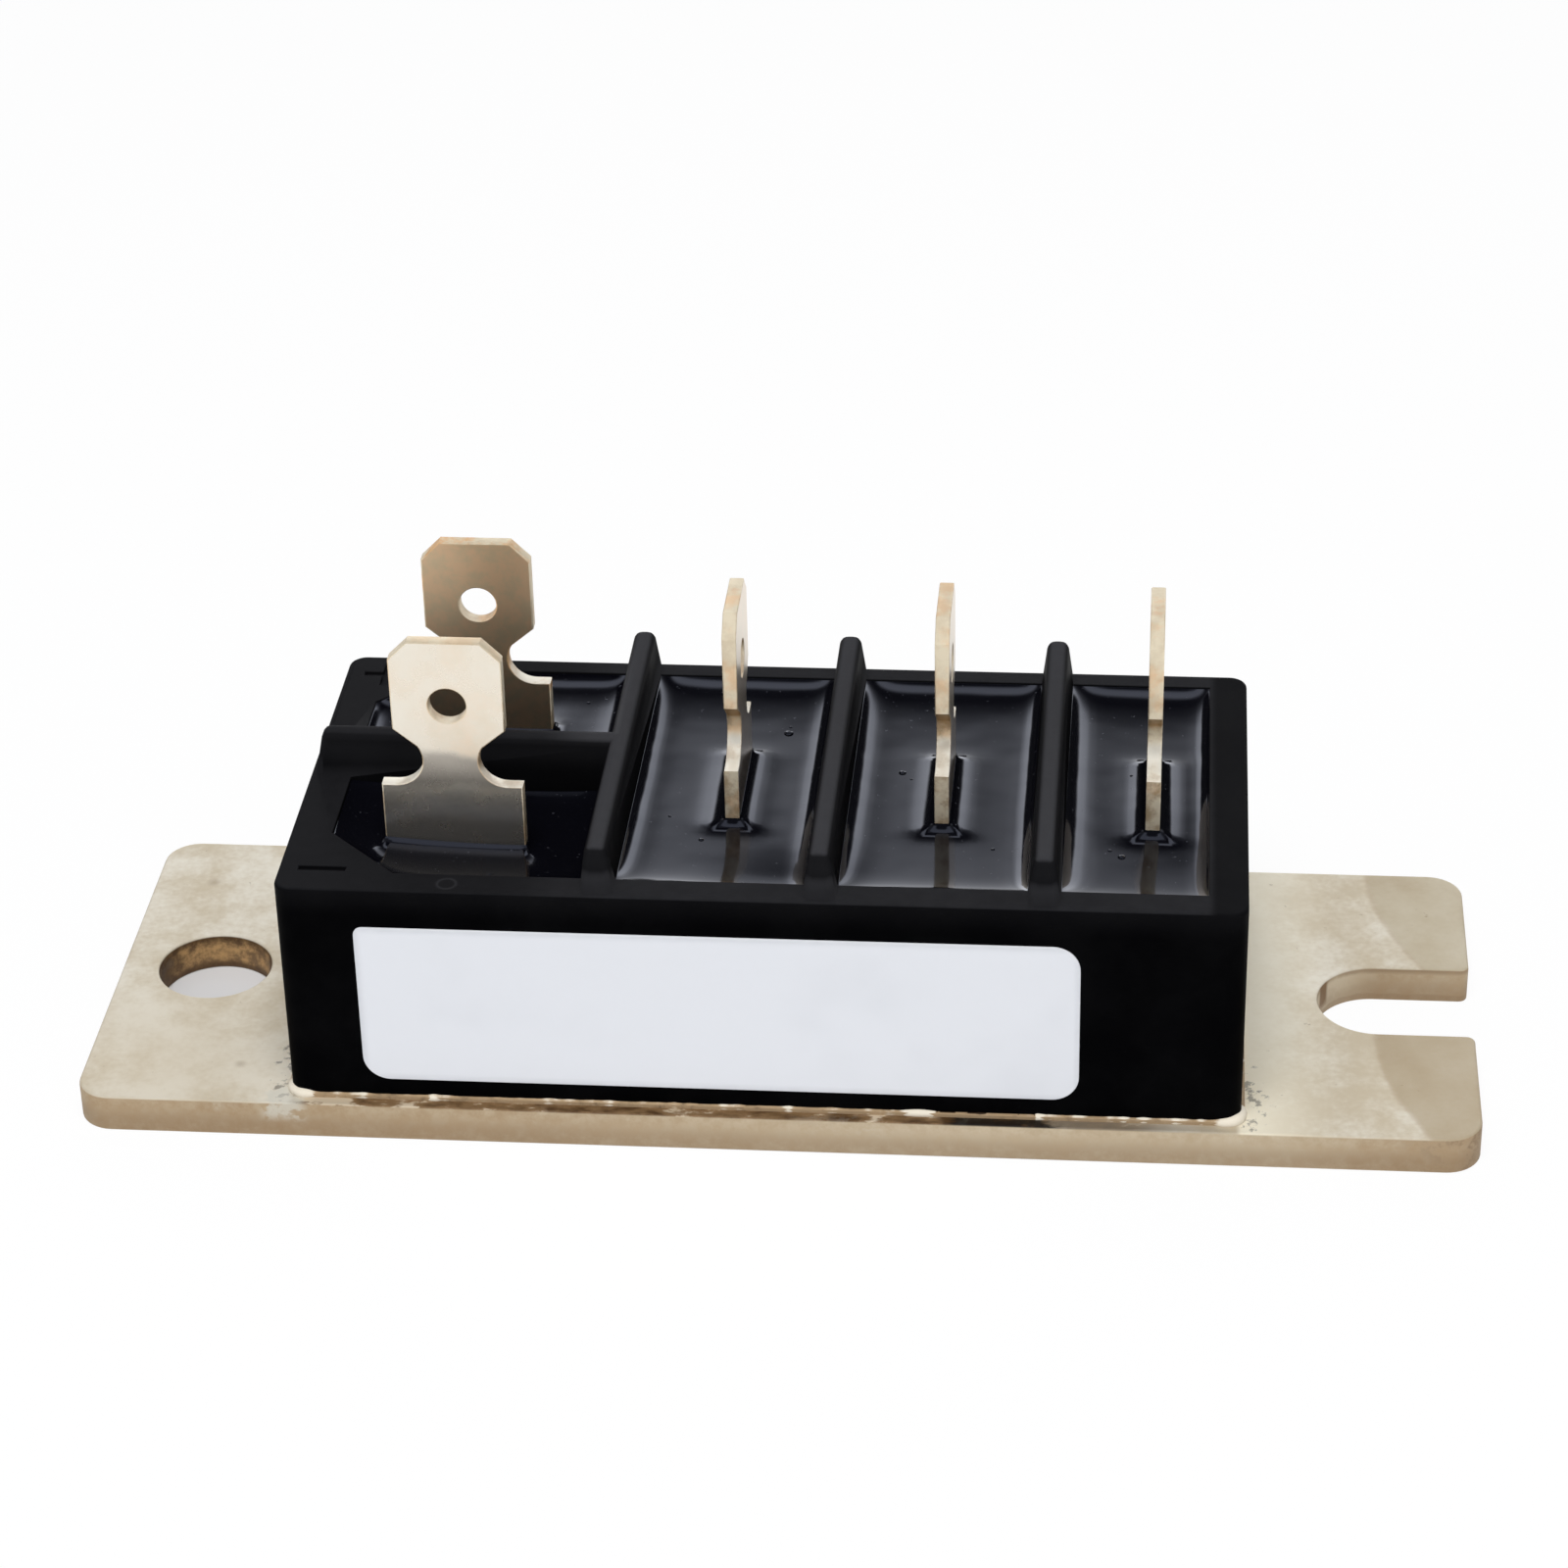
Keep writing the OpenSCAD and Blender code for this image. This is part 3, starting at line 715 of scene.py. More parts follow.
def add_sheet(bm, outer, inner, points):
    """Fills the space between a convex ring and a box-shaped one with triangles through points."""
    vertices = outer + inner + points
    edges = []
    for start, ring in ((0, outer), (len(outer), inner)):
        edges += [(start + i, start + (i + 1) % len(ring)) for i in range(len(ring))]
    made = delaunay_2d_cdt([v.co.xy for v in vertices], edges, [], 0, 1e-5)
    low = Vector((min(v.co.x for v in inner), min(v.co.y for v in inner)))
    high = Vector((max(v.co.x for v in inner), max(v.co.y for v in inner)))
    for corners in made[2]:
        corners = [vertices[made[3][i][0]] for i in corners]
        first, second, third = (v.co.xy for v in corners)
        middle = (first + second + third) / 3
        in_hole = low.x < middle.x < high.x and low.y < middle.y < high.y
        # Only triangles with some area lie inside the rings
        if not in_hole and abs((second - first).cross(third - first)) > 1e-4:
            bm.faces.new(corners).smooth = True


def new_object(name, bm):
    """An object from a mesh drawn in millimetres, with its faces turned outwards."""
    if bm.faces:
        bmesh.ops.recalc_face_normals(bm, faces=bm.faces)
    mesh = bpy.data.meshes.new(name)
    bm.to_mesh(mesh)
    bm.free()
    made = bpy.data.objects.new(name, mesh)
    bpy.context.scene.collection.objects.link(made)
    return made


def bake(piece):
    """Turns a piece with modifiers into a plain mesh."""
    graph = bpy.context.evaluated_depsgraph_get()
    graph.update()
    made = piece.evaluated_get(graph)
    mesh = bpy.data.meshes.new_from_object(made, preserve_all_data_layers=True, depsgraph=graph)
    piece.modifiers.clear()
    piece.data = mesh
    mesh.name = piece.name
    return piece


def settle(piece, nodes, sharp=35.0):
    """Scales a finished piece to metres and lets it ride in place of its solids."""
    piece.data.transform(Matrix.Scale(MM, 4))
    if sharp:
        smooth = [face.use_smooth for face in piece.data.polygons]
        piece.data.set_sharp_from_angle(angle=math.radians(sharp))
        piece.data.polygons.foreach_set("use_smooth", smooth)
    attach(piece, "root")
    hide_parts(*nodes)


def new_tree(name, **kinds):
    """A node tree with named inputs and a finish. Returns the tree, its start, its inputs and its end."""
    tree = bpy.data.node_groups.new(name, "GeometryNodeTree")
    kinds = {"Geometry": "Geometry", **kinds, "Finish": "Material"}
    for label, kind in kinds.items():
        tree.interface.new_socket(label, in_out="INPUT", socket_type="NodeSocket" + kind)
    tree.interface.new_socket("Geometry", in_out="OUTPUT", socket_type="NodeSocketGeometry")
    start = tree.nodes.new("NodeGroupInput")
    end = tree.nodes.new("NodeGroupOutput")
    given = {label: Flow(tree, start.outputs[label]) for label in kinds}
    return tree, Flow(tree), given, end.inputs["Geometry"]


def end_tree(flow, shapes, finish, end):
    """Ends a tree with its shapes as one plain mesh in its finish."""
    joined = flow.node("GeometryNodeJoinGeometry", {"Geometry": shapes[0]})
    for shape in shapes[1:]:
        shape.feed(joined.socket.node.inputs[0])
    real = flow.node("GeometryNodeRealizeInstances", {"Geometry": joined})
    flow.node("GeometryNodeSetMaterial", {"Geometry": real, "Material": finish}).feed(end)


def run_tree(piece, tree, values):
    """Runs a node tree on a piece and keeps the result as its mesh."""
    modifier = piece.modifiers.new(tree.name, "NODES")
    modifier.node_group = tree
    for item in tree.interface.items_tree:
        if item.in_out == "INPUT" and item.name in values:
            modifier[item.identifier] = values[item.name]
    return bake(piece)


def attribute(flow, name):
    """A named number on the points of the geometry."""
    return flow.node("GeometryNodeInputNamedAttribute", {"Name": name}, data_type="FLOAT")


def shape_of(flow, given):
    """The geometry of an object that a tree is given."""
    return flow.node("GeometryNodeObjectInfo", {"Object": given}, "Geometry")


def tab_tree():
    """Sets one blank on the chosen point, turned as the point says."""
    tree, flow, given, end = new_tree("Tab on its point", Blank="Object", Which="Int")
    index = flow.node("GeometryNodeInputIndex")
    chosen = flow.node("FunctionNodeCompare", {2: index, 3: given["Which"]},
                       data_type="INT", operation="EQUAL")
    turn = flow.node("ShaderNodeCombineXYZ", {"Z": attribute(flow, "turn")})
    turned = flow.node("FunctionNodeEulerToRotation", {"Euler": turn})
    set_out = flow.node("GeometryNodeInstanceOnPoints", {
        "Points": given["Geometry"], "Selection": chosen,
        "Instance": shape_of(flow, given["Blank"]), "Rotation": turned})
    end_tree(flow, [set_out], given["Finish"], end)
    return tree


def bubble_tree():
    """Sets small domes on the filling at given points."""
    tree, flow, given, end = new_tree("Bubbles in the filling", Points="Object", Flatness="Float")
    dome = flow.node("GeometryNodeMeshUVSphere", {"Segments": 14, "Rings": 8, "Radius": 1.0})
    dome = flow.node("GeometryNodeSetShadeSmooth", {"Geometry": dome})
    wide = attribute(flow, "wide")
    scale = flow.node("ShaderNodeCombineXYZ", {"X": wide, "Y": wide, "Z": wide * given["Flatness"]})
    set_out = flow.node("GeometryNodeInstanceOnPoints", {
        "Points": shape_of(flow, given["Points"]), "Instance": dome, "Scale": scale})
    end_tree(flow, [set_out, given["Geometry"]], given["Finish"], end)
    return tree


def bead_tree():
    """Lays an uneven bead along a path and joins it to the flat adhesive."""
    tree, flow, given, end = new_tree("Bead along the foot", Flat="Object", Radius="Float")
    path = flow.node("GeometryNodeMeshToCurve", {"Mesh": given["Geometry"]})
    profile = flow.node("GeometryNodeCurvePrimitiveCircle", {"Resolution": 10, "Radius": 1.0})
    bead = flow.node("GeometryNodeCurveToMesh", {
        "Curve": path, "Profile Curve": profile, "Scale": attribute(flow, "thick") * given["Radius"]})
    bead = flow.node("GeometryNodeSetShadeSmooth", {"Geometry": bead})
    end_tree(flow, [bead, shape_of(flow, given["Flat"])], given["Finish"], end)
    return tree


def plate_outline(settings):
    """The plate's outline with its open slot, and the round hole."""
    corner = settings.corner_radius / MM
    mouth = settings.mouth_radius / MM
    slot = settings.slot_radius / MM
    left, right, front, rear = PLATE_LOW.x, PLATE_HIGH.x, PLATE_LOW.y, PLATE_HIGH.y
    bends = (
        ((left + corner, front + corner), corner, 180, 270, 10),
        ((right - corner, front + corner), corner, 270, 360, 10),
        ((right - mouth, -slot - mouth), mouth, 0, 90, 6),
        ((SLOT_X, 0.0), slot, 270, 90, 40),
        ((right - mouth, slot + mouth), mouth, 270, 360, 6),
        ((right - corner, rear - corner), corner, 0, 90, 10),
        ((left + corner, rear - corner), corner, 90, 180, 10),
    )
    outline = [point for bend in bends for point in arc(*bend)]
    hole = arc((HOLE_X, 0.0), settings.hole_radius / MM, 360, 0, 72)[:-1]
    return outline, hole


def tab_outline(settings, foot_z, top_z):
    """A tab's outline from the front, and its hole."""
    leg = settings.leg / MM / 2
    shoulder = settings.shoulder / MM / 2
    blade = settings.blade / MM / 2
    corner = settings.corner / MM
    notch = settings.notch / MM
    middle = SHOULDER_HIGH + notch
    right = [Vector((leg, foot_z)), Vector((leg, SHOULDER_LOW))]
    right += [Vector((shoulder, SHOULDER_LOW)), Vector((shoulder, SHOULDER_HIGH))]
    # The blade's lower corners slope into the notches a little inside their circles
    inside = 0.96
    right += arc((blade, middle), notch, 270, 90 + math.degrees(settings.slope + math.acos(inside)), 24)
    right += [Vector((blade, middle + notch * inside / math.cos(settings.slope)))]
    right += [Vector((blade, top_z - corner)), Vector((blade - corner, top_z))]
    left = [Vector((-p.x, p.y)) for p in reversed(right)]
    hole = arc((0.0, top_z - settings.hole_drop / MM), settings.hole / MM, 360, 0, 40)[:-1]
    return right + left, hole


def cell_outlines():
    """The five cells of the filling, counter-clockwise, with the tab that stands in each."""
    left, right, front, rear = ROOM_LOW.x, ROOM_HIGH.x, ROOM_LOW.y, ROOM_HIGH.y
    first = RIB_X[0] - RIB_HALF
    behind = CROSS_RIB_Y + RIB_HALF
    before = CROSS_RIB_Y - RIB_HALF
    cut = left + CELL_CUT
    cells = {
        "plus": [(left, behind), (first, behind), (first, rear), (cut, rear), (left, rear - CELL_CUT)],
        "minus": [(left, front + CELL_CUT), (cut, front), (first, front), (first, before), (left, before)],
    }
    ends = [x - RIB_HALF for x in RIB_X[1:]] + [right]
    for i, (rib, end) in enumerate(zip(RIB_X, ends)):
        start = rib + RIB_HALF
        cells["ac_%d" % (i + 1)] = [(start, front), (end, front), (end, rear), (start, rear)]
    return {name: [Vector(p) for p in corners] for name, corners in cells.items()}


def tab_corners(name, grow=0.0):
    """The clockwise outline of a tab where it stands in the filling."""
    x, y = TABS[name][:2]
    wide, deep = (half + grow for half in (TAB_HALF[::-1] if "ac" in name else TAB_HALF))
    return [Vector((x + i * wide, y + j * deep)) for i, j in ((-1, -1), (-1, 1), (1, 1), (1, -1))]


class RECTIFIER_OT_baseplate(bpy.types.Operator):
    """Makes the base plate with its punched hole, its open slot and its rounded edges."""

    bl_idname = "rectifier.baseplate"
    bl_label = "Base plate"

    def execute(self, context):
        settings = context.scene.rectifier_plate
        bm = bmesh.new()
        profile = edge_profile(PLATE_HIGH.z - PLATE_LOW.z, settings.low_edge / MM, settings.top_edge / MM)
        add_slab(bm, plate_outline(settings), profile, lambda a, b, h: (a, b, h + PLATE_LOW.z))
        piece = new_object("base_plate", bm)
        piece.data.materials.append(plate_finish(settings))
        settle(piece, ["baseplate"])
        return {"FINISHED"}


class RECTIFIER_OT_frame(bpy.types.Operator):
    """Makes the black frame: the moulding's solid with rounded edges."""

    bl_idname = "rectifier.frame"
    bl_label = "Frame"

    def radius(self, settings, edge):
        """The rounding of one edge, by where it lies."""
        if not edge.is_manifold or edge.calc_face_angle_signed() < math.radians(30):
            return 0.0
        close = 0.05
        wall = 0.6
        points = [v.co for v in edge.verts]
        lowest = min(p.z for p in points)
        if lowest > FRAME_HIGH.z - close:
            return settings.rib_edge
        if max(p.z for p in points) > RIM_Z + close:
            return settings.rib_edge * 0.8
        depths = [min(p.x - FRAME_LOW.x, FRAME_HIGH.x - p.x, p.y - FRAME_LOW.y, FRAME_HIGH.y - p.y)
                  for p in points]
        if max(depths) < wall and lowest > RIM_Z - close:
            return settings.rim_edge
        return settings.fine_edge

    def execute(self, context):
        settings = context.scene.rectifier_frame
        bm = bmesh.new()
        bm.from_mesh(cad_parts["housing"].data)
        bmesh.ops.scale(bm, vec=(1 / MM,) * 3, verts=bm.verts)
        bmesh.ops.remove_doubles(bm, verts=bm.verts, dist=0.002)
        bmesh.ops.dissolve_limit(bm, angle_limit=math.radians(1), verts=bm.verts, edges=bm.edges)
        weight = bm.edges.layers.float.new("bevel_weight_edge")
        for edge in bm.edges:
            edge[weight] = self.radius(settings, edge) / settings.rib_edge
        for face in bm.faces:
            face.smooth = True
        piece = new_object("frame_moulding", bm)
        bevel = piece.modifiers.new("Edges", "BEVEL")
        bevel.limit_method = "WEIGHT"
        bevel.width = settings.rib_edge / MM
        bevel.segments = 4
        bevel.use_clamp_overlap = False
        piece.modifiers.new("Normals", "WEIGHTED_NORMAL")
        bake(piece)
        piece.data.materials.clear()
        piece.data.materials.append(frame_finish(settings))
        settle(piece, ["housing"], sharp=None)
        return {"FINISHED"}


class RECTIFIER_OT_potting(bpy.types.Operator):
    """Makes the hard filling, drawn up at the walls and tabs, with a few bubbles."""

    bl_idname = "rectifier.potting"
    bl_label = "Filling"

    def drawn(self, kind, away):
        """How far the face is drawn up at a distance from a wall, from 0 to 1."""
        broad, broad_reach, steep, steep_reach = DRAWN_UP[kind]
        away = max(away, 0.0)
        return broad * math.exp(-away / broad_reach) + steep * math.exp(-away / steep_reach)

    def height(self, settings, corners, name, point):
        """Height of the filling's face at a point of a cell."""
        level_part = 1.0
        for first, second in pairs(corners):
            along = (second - first).normalized()
            inward = Vector((-along.y, along.x))
            if abs(inward.y) > 0.8:
                kind = "front" if inward.y > 0 else "rear"
            else:
                kind = "left" if inward.x > 0 else "right"
            level_part *= 1 - self.drawn(kind, inward.dot(point - first))
        low, high = tab_corners(name)[::2]
        away = Vector([max(low[i] - point[i], 0.0, point[i] - high[i]) for i in (0, 1)])
        away[0 if high.x - low.x > high.y - low.y else 1] *= PAST_ENDS
        level_part *= 1 - self.drawn("tab", away.length)
        middle = (min(p.y for p in corners) + max(p.y for p in corners)) / 2
        level_part *= 1 - settings.dish * ((point.y - middle) / CELL_HALF) ** 2
        raised = (settings.rise * (1 - level_part) - settings.sag) / MM
        for start, x, y, reach, depth in DIPS:
            if name.startswith(start):
                raised -= depth * math.exp(-((point.x - x) ** 2 + (point.y - y) ** 2) / (2 * reach * reach))
        return min(ROOM_HIGH.z + raised, RIM_Z - BELOW_RIM)

    def cell(self, bm, settings, name, corners):
        """Adds the filling of one cell, from a little behind its walls and inside its tab."""
        in_wall, in_tab, pocket_depth = 0.1, 0.05, 2.0
        wall_counts = edge_counts(corners, WALL_STEP)
        tab_counts = edge_counts(tab_corners(name), TAB_STEP)
        spacing = settings.fineness / MM

        def ring(loop, depth=None):
            return [bm.verts.new((p.x, p.y, depth or self.height(settings, corners, name, p))) for p in loop]

        walls = [split_edges(inset(corners, d), wall_counts) for d in (-in_wall, *RING_STEPS)]
        wall_rings = [ring(loop) for loop in walls]
        bottom = ring(walls[0], ROOM_LOW.z)
        add_rings(bm, [bottom] + wall_rings)
        stems = [split_edges(tab_corners(name, d), tab_counts) for d in (-in_tab, *RING_STEPS[:-1])]
        stem_rings = [ring(loop) for loop in stems]
        pocket = ring(stems[0], ROOM_HIGH.z - pocket_depth)
        add_rings(bm, [pocket] + stem_rings)
        inner = inset(corners, RING_STEPS[-1] + spacing / 2)
        hole = tab_corners(name, RING_STEPS[-2] + spacing / 2)
        add_sheet(bm, wall_rings[-1], stem_rings[-1], ring(grid_points(inner, hole, spacing)))
        bm.faces.new(bottom)
        bm.faces.new(pocket)

    def execute(self, context):
        settings = context.scene.rectifier_potting
        bm = bmesh.new()
        cells = cell_outlines()
        for name, corners in cells.items():
            self.cell(bm, settings, name, corners)
        # The filling runs through under the partitions
        low, high = ROOM_LOW, ROOM_HIGH
        room = [Vector(p) for p in (
            (low.x + CELL_CUT, low.y), (high.x, low.y), (high.x, high.y), (low.x + CELL_CUT, high.y),
            (low.x, high.y - CELL_CUT), (low.x, low.y + CELL_CUT))]
        add_slab(bm, [room], [(0.0, low.z), (0.0, PARTITION_Z)])
        piece = new_object("potting", bm)
        spots = bmesh.new()
        wide = spots.verts.layers.float.new("wide")
        for name, x, y, radius in BUBBLES:
            vertex = spots.verts.new((x, y, self.height(settings, cells[name], name, Vector((x, y)))))
            vertex[wide] = radius
        points = new_object("bubble_points", spots)
        finish = potting_finish(settings)
        run_tree(piece, bubble_tree(), {"Points": points, "Flatness": settings.flatness, "Finish": finish})
        bpy.data.objects.remove(points)
        settle(piece, ["epoxy_fill"], sharp=60.0)
        return {"FINISHED"}


class RECTIFIER_OT_tabs(bpy.types.Operator):
    """Makes the five push-on tabs from one stamped blank."""

    bl_idname = "rectifier.tabs"
    bl_label = "Tabs"

    def blank(self, settings):
        """One stamped tab with its middle line on Z and its foot towards Y."""
        low, high = node_box("terminal_plus")
        thick = settings.thickness / MM
        edge = settings.edge / MM
        leg = settings.leg / MM / 2
        near_y = thick / 2
        far_y = settings.foot / MM - near_y
        bm = bmesh.new()
        mark = bm.faces.layers.float.new("sheared")
        add_slab(bm, tab_outline(settings, low.z, high.z), edge_profile(thick, edge, edge, 3),
                 lambda a, b, h: (a, h - thick / 2, b), mark)
        foot = [Vector(p) for p in ((-leg, near_y), (leg, near_y), (leg, far_y), (-leg, far_y))]
        add_slab(bm, [foot], [(0.0, low.z), (0.0, low.z + thick)])
        return new_object("tab_blank", bm)

    def execute(self, context):
        settings = context.scene.rectifier_tabs
        blank = self.blank(settings)
        finish = tab_finish(settings)
        tree = tab_tree()
        for which, name in enumerate(TABS):
            spots = bmesh.new()
            turn = spots.verts.layers.float.new("turn")
            age = spots.verts.layers.float.new("age")
            for x, y, angle, tarnish in TABS.values():
                vertex = spots.verts.new((x, y, 0.0))
                vertex[turn] = angle
                vertex[age] = tarnish
            piece = new_object("tab_" + name, spots)
            run_tree(piece, tree, {"Blank": blank, "Which": which, "Finish": finish})
            settle(piece, ["terminal_" + name])
        bpy.data.objects.remove(blank)
        return {"FINISHED"}


class RECTIFIER_OT_label(bpy.types.Operator):
    """Makes the bare label on the front face."""

    bl_idname = "rectifier.label"
    bl_label = "Label"

    def execute(self, context):
        settings = context.scene.rectifier_label
        corner = settings.corner / MM
        radii = (corner, corner, corner, settings.first_corner / MM)
        outline = rounded_box(LABEL_LOW.xz, LABEL_HIGH.xz, radii, 10)
        bm = bmesh.new()
        add_slab(bm, [outline], edge_profile(LABEL_HIGH.y - LABEL_LOW.y, 0.0, settings.edge / MM),
                 lambda a, b, h: (a, LABEL_HIGH.y - h, b))
        bmesh.ops.remove_doubles(bm, verts=bm.verts, dist=0.0005)
        piece = new_object("label_sheet", bm)
        piece.data.materials.append(label_finish(settings))
        settle(piece, ["label"])
        return {"FINISHED"}


class RECTIFIER_OT_adhesive(bpy.types.Operator):
    """Makes the adhesive under the frame with the uneven bead that was pressed out."""

    bl_idname = "rectifier.adhesive"
    bl_label = "Adhesive"

    def amounts(self, point):
        """How thick and how pale the bead is at a point of the foot."""
        rough = noise.noise(Vector((point.x * 0.45, point.y * 0.45, 3.1)))
        fine = noise.noise(Vector((point.x * 1.7, point.y * 1.7, 7.7)))
        thick = 0.9 + 0.35 * rough + 0.45 * fine
        tone = 0.45 + 0.3 * rough + 0.45 * fine
        if point.y < FRAME_LOW.y + 0.5:
            ragged = point.x + 1.5 * fine
            if ragged > BEAD_PALE:
                tone = 0.65 + 0.5 * fine
            elif ragged > BEAD_BARE:
                thick, tone = 0.6 + 0.5 * max(0.0, fine), 0.4 * rough - 0.35
            elif point.x > BEAD_SWELLS:
                swell = math.sin(math.pi * (point.x - BEAD_SWELLS) / (BEAD_BARE - BEAD_SWELLS))
                thick, tone = 0.7 + 0.7 * swell, 0.4 + 0.7 * swell
        corner = min((point - Vector((x, FRAME_LOW.y))).length for x in (FRAME_LOW.x, FRAME_HIGH.x))
        blob = max(0.0, 1 - corner / 1.8)
        return max(0.3, thick + 1.2 * blob), tone + 0.8 * blob

    def sheet(self):
        """The flat adhesive under the frame's foot."""
        outer = rounded_box(SEAL_LOW, SEAL_HIGH, (SEAL_ROUND,) * 4)
        room = rounded_box(ROOM_LOW, ROOM_HIGH, (ROOM_ROUND,) * 4)
        bm = bmesh.new()
        tone = bm.verts.layers.float.new("tone")
        add_slab(bm, [outer, room[::-1]], [(0.0, SEAL_LOW.z), (0.0, SEAL_HIGH.z)])
        for vertex in bm.verts:
            vertex[tone] = 0.4
        return new_object("flat_adhesive", bm)

    def execute(self, context):
        settings = context.scene.rectifier_adhesive
        flat = self.sheet()
        # The bead follows the frame's foot
        foot = rounded_box(FRAME_LOW, FRAME_HIGH, (FOOT_ROUND,) * 4)
        path = bmesh.new()
        thick = path.verts.layers.float.new("thick")
        tone = path.verts.layers.float.new("tone")
        vertices = []
        for point in split_edges(foot, edge_counts(foot, BEAD_STEP, least=1)):
            vertex = path.verts.new((point.x, point.y, SEAL_LOW.z + BEAD_HEIGHT))
            vertex[thick], vertex[tone] = self.amounts(point)
            vertices.append(vertex)
        for pair in pairs(vertices):
            path.edges.new(pair)
        piece = new_object("adhesive", path)
        finish = adhesive_finish(settings)
        run_tree(piece, bead_tree(), {"Flat": flat, "Radius": settings.bead / MM, "Finish": finish})
        bpy.data.objects.remove(flat)
        settle(piece, ["seal_bead"], sharp=50.0)
        return {"FINISHED"}


class RECTIFIER_OT_inside(bpy.types.Operator):
    """Gives the sealed pieces under the filling their finishes."""

    bl_idname = "rectifier.inside"
    bl_label = "Sealed pieces"

    def execute(self, context):
        copper = inner_finish("bare_copper", (214, 150, 106), (176, 112, 74), 400.0, {"Metallic": 1.0})
        ceramic = inner_finish("white_ceramic", (240, 238, 230), (226, 222, 210), 900.0, {})
        chip = inner_finish("chip_silicon", (98, 104, 114), (76, 82, 94), 700.0, {"Metallic": 0.6})
        gel = inner_finish("soft_gel", (222, 227, 230), (206, 212, 216), 200.0, {"Specular IOR Level": 0.4})
        starts = {
            "substrate_copper": copper,
            "substrate_ceramic": ceramic,
            "pad": copper,
            "jumper": copper,
            "diode": chip,
            "gel": gel,
        }
        for name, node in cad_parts.items():
            for start, finish in starts.items():
                if name.startswith(start):
                    node.data.materials.clear()
                    node.data.materials.append(finish)
        return {"FINISHED"}


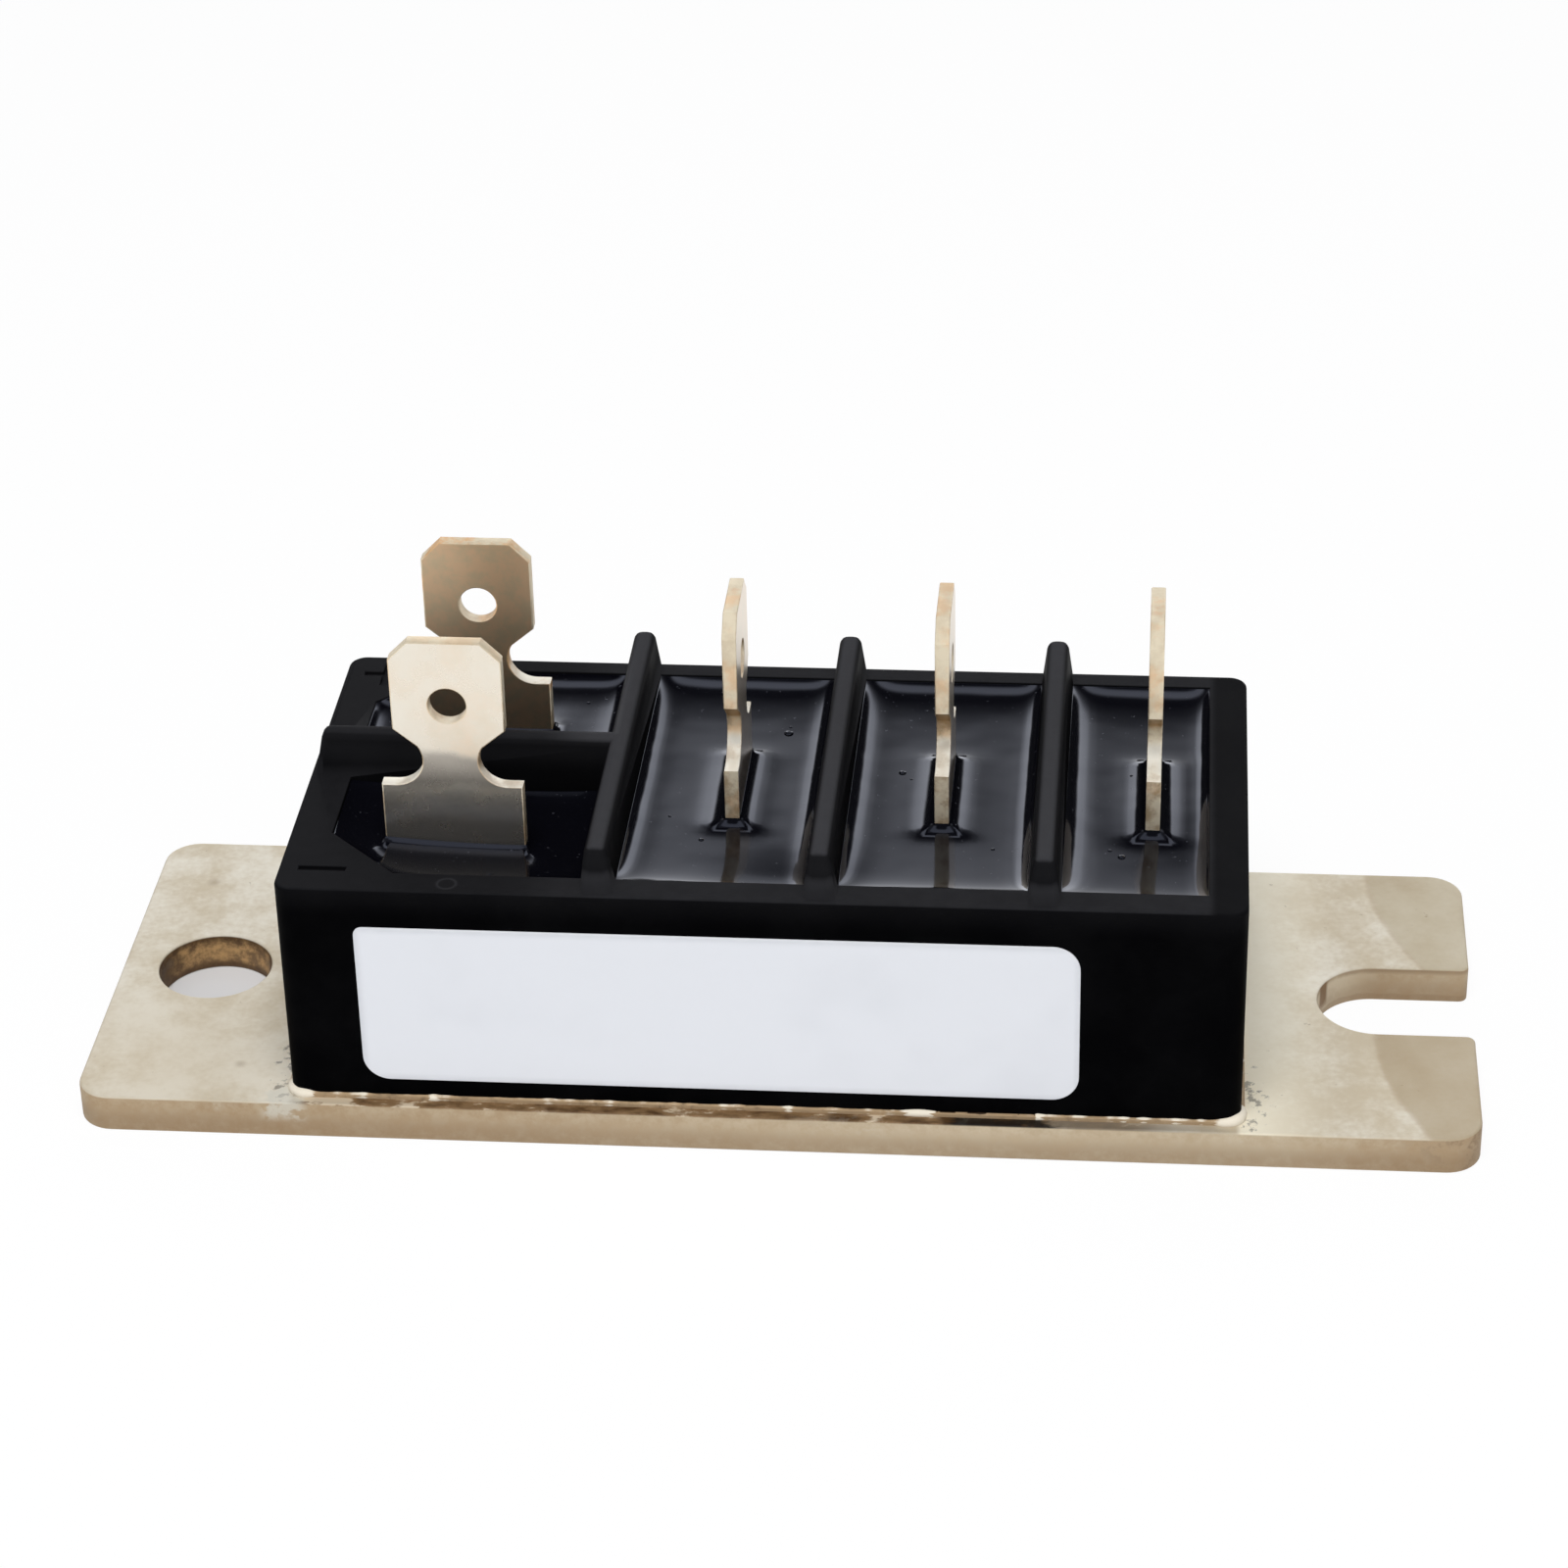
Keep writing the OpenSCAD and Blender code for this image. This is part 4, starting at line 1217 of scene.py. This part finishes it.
class RECTIFIER_OT_stage(bpy.types.Operator):
    """Sets out the pale floor, the soft light and the camera."""

    bl_idname = "rectifier.stage"
    bl_label = "Stage"

    def floor(self, settings):
        """A wide floor that the camera sees nearly white, with the part's shadow, and with painted shade
        under the round hole.
        """
        half = 2500.0
        bm = bmesh.new()
        corners = ((-half, -half), (half, -half), (half, half), (-half, half))
        bm.faces.new([bm.verts.new((x, y, 0.0)) for x, y in corners])
        floor = new_object("floor", bm)
        floor.data.transform(Matrix.Scale(MM, 4))
        material = bpy.data.materials.new("pale_floor")
        flow = bare_tree(material)
        x, y = flow.millimetres()[:2]
        # Painted shade: the floor is painted greyer under the round hole, and there the camera sees its
        # shaded colour instead of plain white
        under = near(x, y, (HOLE_X, 0.0), 7.0).ease(0.4, 0.5)
        seen = flow.ray("Camera").most(flow.ray("Glossy")).most(flow.ray("Transmission"))
        direct = seen * (1.0 - under) * settings.floor_glow
        plain = flow.node("ShaderNodeBsdfDiffuse", {"Color": under.blend(settings.floor, settings.under)})
        white = flow.node("ShaderNodeEmission", {"Strength": 1.0})
        mixed = flow.node("ShaderNodeMixShader", {0: direct, 1: plain, 2: white})
        flow.node("ShaderNodeOutputMaterial", {"Surface": mixed})
        floor.data.materials.append(material)

    def room(self, scene, settings):
        """A room that is bright low down behind the part and in front of it, and dim at its sides."""
        world = bpy.data.worlds.new("plain_room")
        scene.world = world
        flow = bare_tree(world)
        x, y, z = flow.node("ShaderNodeTexCoord", output="Generated").parts()
        flat = (x * x + y * y).root().most(0.001)
        ahead = y / flat
        aside = x / flat
        off = abs(aside)
        stops = (
            (0.0, 1.0), (0.3, 0.85), (0.45, 0.68), (0.5, 0.61),
            (0.52, 0.54), (0.57, 0.24), (0.62, 0.1), (0.7, 0.02),
        )
        low_light = flow.node("ShaderNodeValToRGB", {0: z}, stops=stops) * (1.5 * settings.rear)
        # Two brighter bands stand behind the part, with a dimmer wall between them and darkness beside them
        bands = 1.0 + off.ease(0.12, 0.24) * off.fade(0.34, 0.4)
        bands = bands - 0.28 * aside.ease(-0.1, 0.02) * aside.fade(0.06, 0.12)
        gap = 1.0 - 0.985 * off.ease(0.34, 0.4) * off.fade(0.6, 0.8)
        # The middle of the room in front is dark
        dark = (z * 0.5 - y * 0.866).ease(0.829, 0.94)
        front_light = (1.0 - 0.92 * dark) * settings.front
        light = settings.side + ahead.ease(0.5, 0.8) * (low_light * bands * gap - settings.side)
        light = light + ahead.fade(-0.6, -0.1) * (front_light - settings.side)
        # A narrow light hangs across the room above the part
        above = abs(y - 0.53).fade(0.04, 0.12) * z.ease(0.7, 0.8)
        light = light + above * settings.above
        camera = flow.ray("Camera")
        shown = camera + (1.0 - camera) * light
        back = flow.node("ShaderNodeBackground", {"Color": (0.95, 0.965, 1.0, 1.0), "Strength": shown})
        flow.node("ShaderNodeOutputWorld", {"Surface": back})

    def lamp(self, scene, settings):
        """A soft lamp above that looks at the part."""
        data = bpy.data.lights.new("lamp_above", "AREA")
        data.energy = settings.lamp
        data.size = 0.24
        made = bpy.data.objects.new("lamp_above", data)
        made.visible_glossy = False
        scene.collection.objects.link(made)
        made.location = (0.0, -0.2, 0.5)
        made.rotation_euler = (Vector() - made.location).to_track_quat("-Z", "Y").to_euler()

    def camera(self, scene):
        """A camera at the photograph's angle, with its small tilt."""
        azimuth, elevation, roll = (math.radians(a) for a in (5.343, 30.751, -1.252))
        target = Vector((-0.365, 12.453, 8.0)) * MM
        distance = 258.17 * MM
        # The photograph's width, the focal length and how far the middle lies off, in pixels
        width, focal, off_x, off_y = 1600.0, 4430.5, -15.7, 2.1
        flat = math.cos(elevation)
        back = Vector((math.sin(azimuth) * flat, -math.cos(azimuth) * flat, math.sin(elevation)))
        right = (-back).cross(Vector((0.0, 0.0, 1.0))).normalized()
        up = right.cross(-back)
        level_right = math.cos(roll) * right + math.sin(roll) * up
        level_up = math.cos(roll) * up - math.sin(roll) * right
        data = bpy.data.cameras.new("camera")
        data.sensor_width = 36.0
        data.lens = data.sensor_width * focal / width
        data.shift_x = off_x / width
        data.shift_y = off_y / width
        data.clip_start = 0.005
        made = bpy.data.objects.new("camera", data)
        scene.collection.objects.link(made)
        turn = Matrix((level_right, level_up, back)).transposed().to_4x4()
        made.matrix_world = Matrix.Translation(target + back * distance) @ turn
        scene.camera = made

    def execute(self, context):
        scene = context.scene
        settings = scene.rectifier_stage
        scene.view_settings.view_transform = "Standard"
        self.floor(settings)
        self.room(scene, settings)
        self.lamp(scene, settings)
        self.camera(scene)
        return {"FINISHED"}


PIECES = (
    RECTIFIER_OT_baseplate,
    RECTIFIER_OT_frame,
    RECTIFIER_OT_potting,
    RECTIFIER_OT_tabs,
    RECTIFIER_OT_label,
    RECTIFIER_OT_adhesive,
    RECTIFIER_OT_inside,
    RECTIFIER_OT_stage,
)
SETTINGS = {
    "rectifier_plate": PlateSettings,
    "rectifier_frame": FrameSettings,
    "rectifier_potting": PottingSettings,
    "rectifier_tabs": TabSettings,
    "rectifier_label": LabelSettings,
    "rectifier_adhesive": AdhesiveSettings,
    "rectifier_stage": StageSettings,
}


class RECTIFIER_PT_panel(bpy.types.Panel):
    """Lists the pieces of the module."""

    bl_idname = "RECTIFIER_PT_panel"
    bl_label = "Bridge rectifier module"
    bl_space_type = "VIEW_3D"
    bl_region_type = "UI"
    bl_category = "Rectifier"

    def draw(self, context):
        for piece in PIECES:
            self.layout.operator(piece.bl_idname)
        for name in SETTINGS:
            group = getattr(context.scene, name)
            box = self.layout.box()
            box.label(text=type(group).__doc__)
            for key in type(group).__annotations__:
                box.prop(group, key)


def register():
    for made in (*SETTINGS.values(), *PIECES, RECTIFIER_PT_panel):
        bpy.utils.register_class(made)
    for name, group in SETTINGS.items():
        setattr(bpy.types.Scene, name, PointerProperty(type=group))


def unregister():
    for name in SETTINGS:
        delattr(bpy.types.Scene, name)
    for made in (RECTIFIER_PT_panel, *reversed(PIECES), *reversed(SETTINGS.values())):
        bpy.utils.unregister_class(made)


def main():
    register()
    for piece in PIECES:
        group, name = piece.bl_idname.split(".")
        getattr(getattr(bpy.ops, group), name)()


if __name__ == "__main__":
    main()
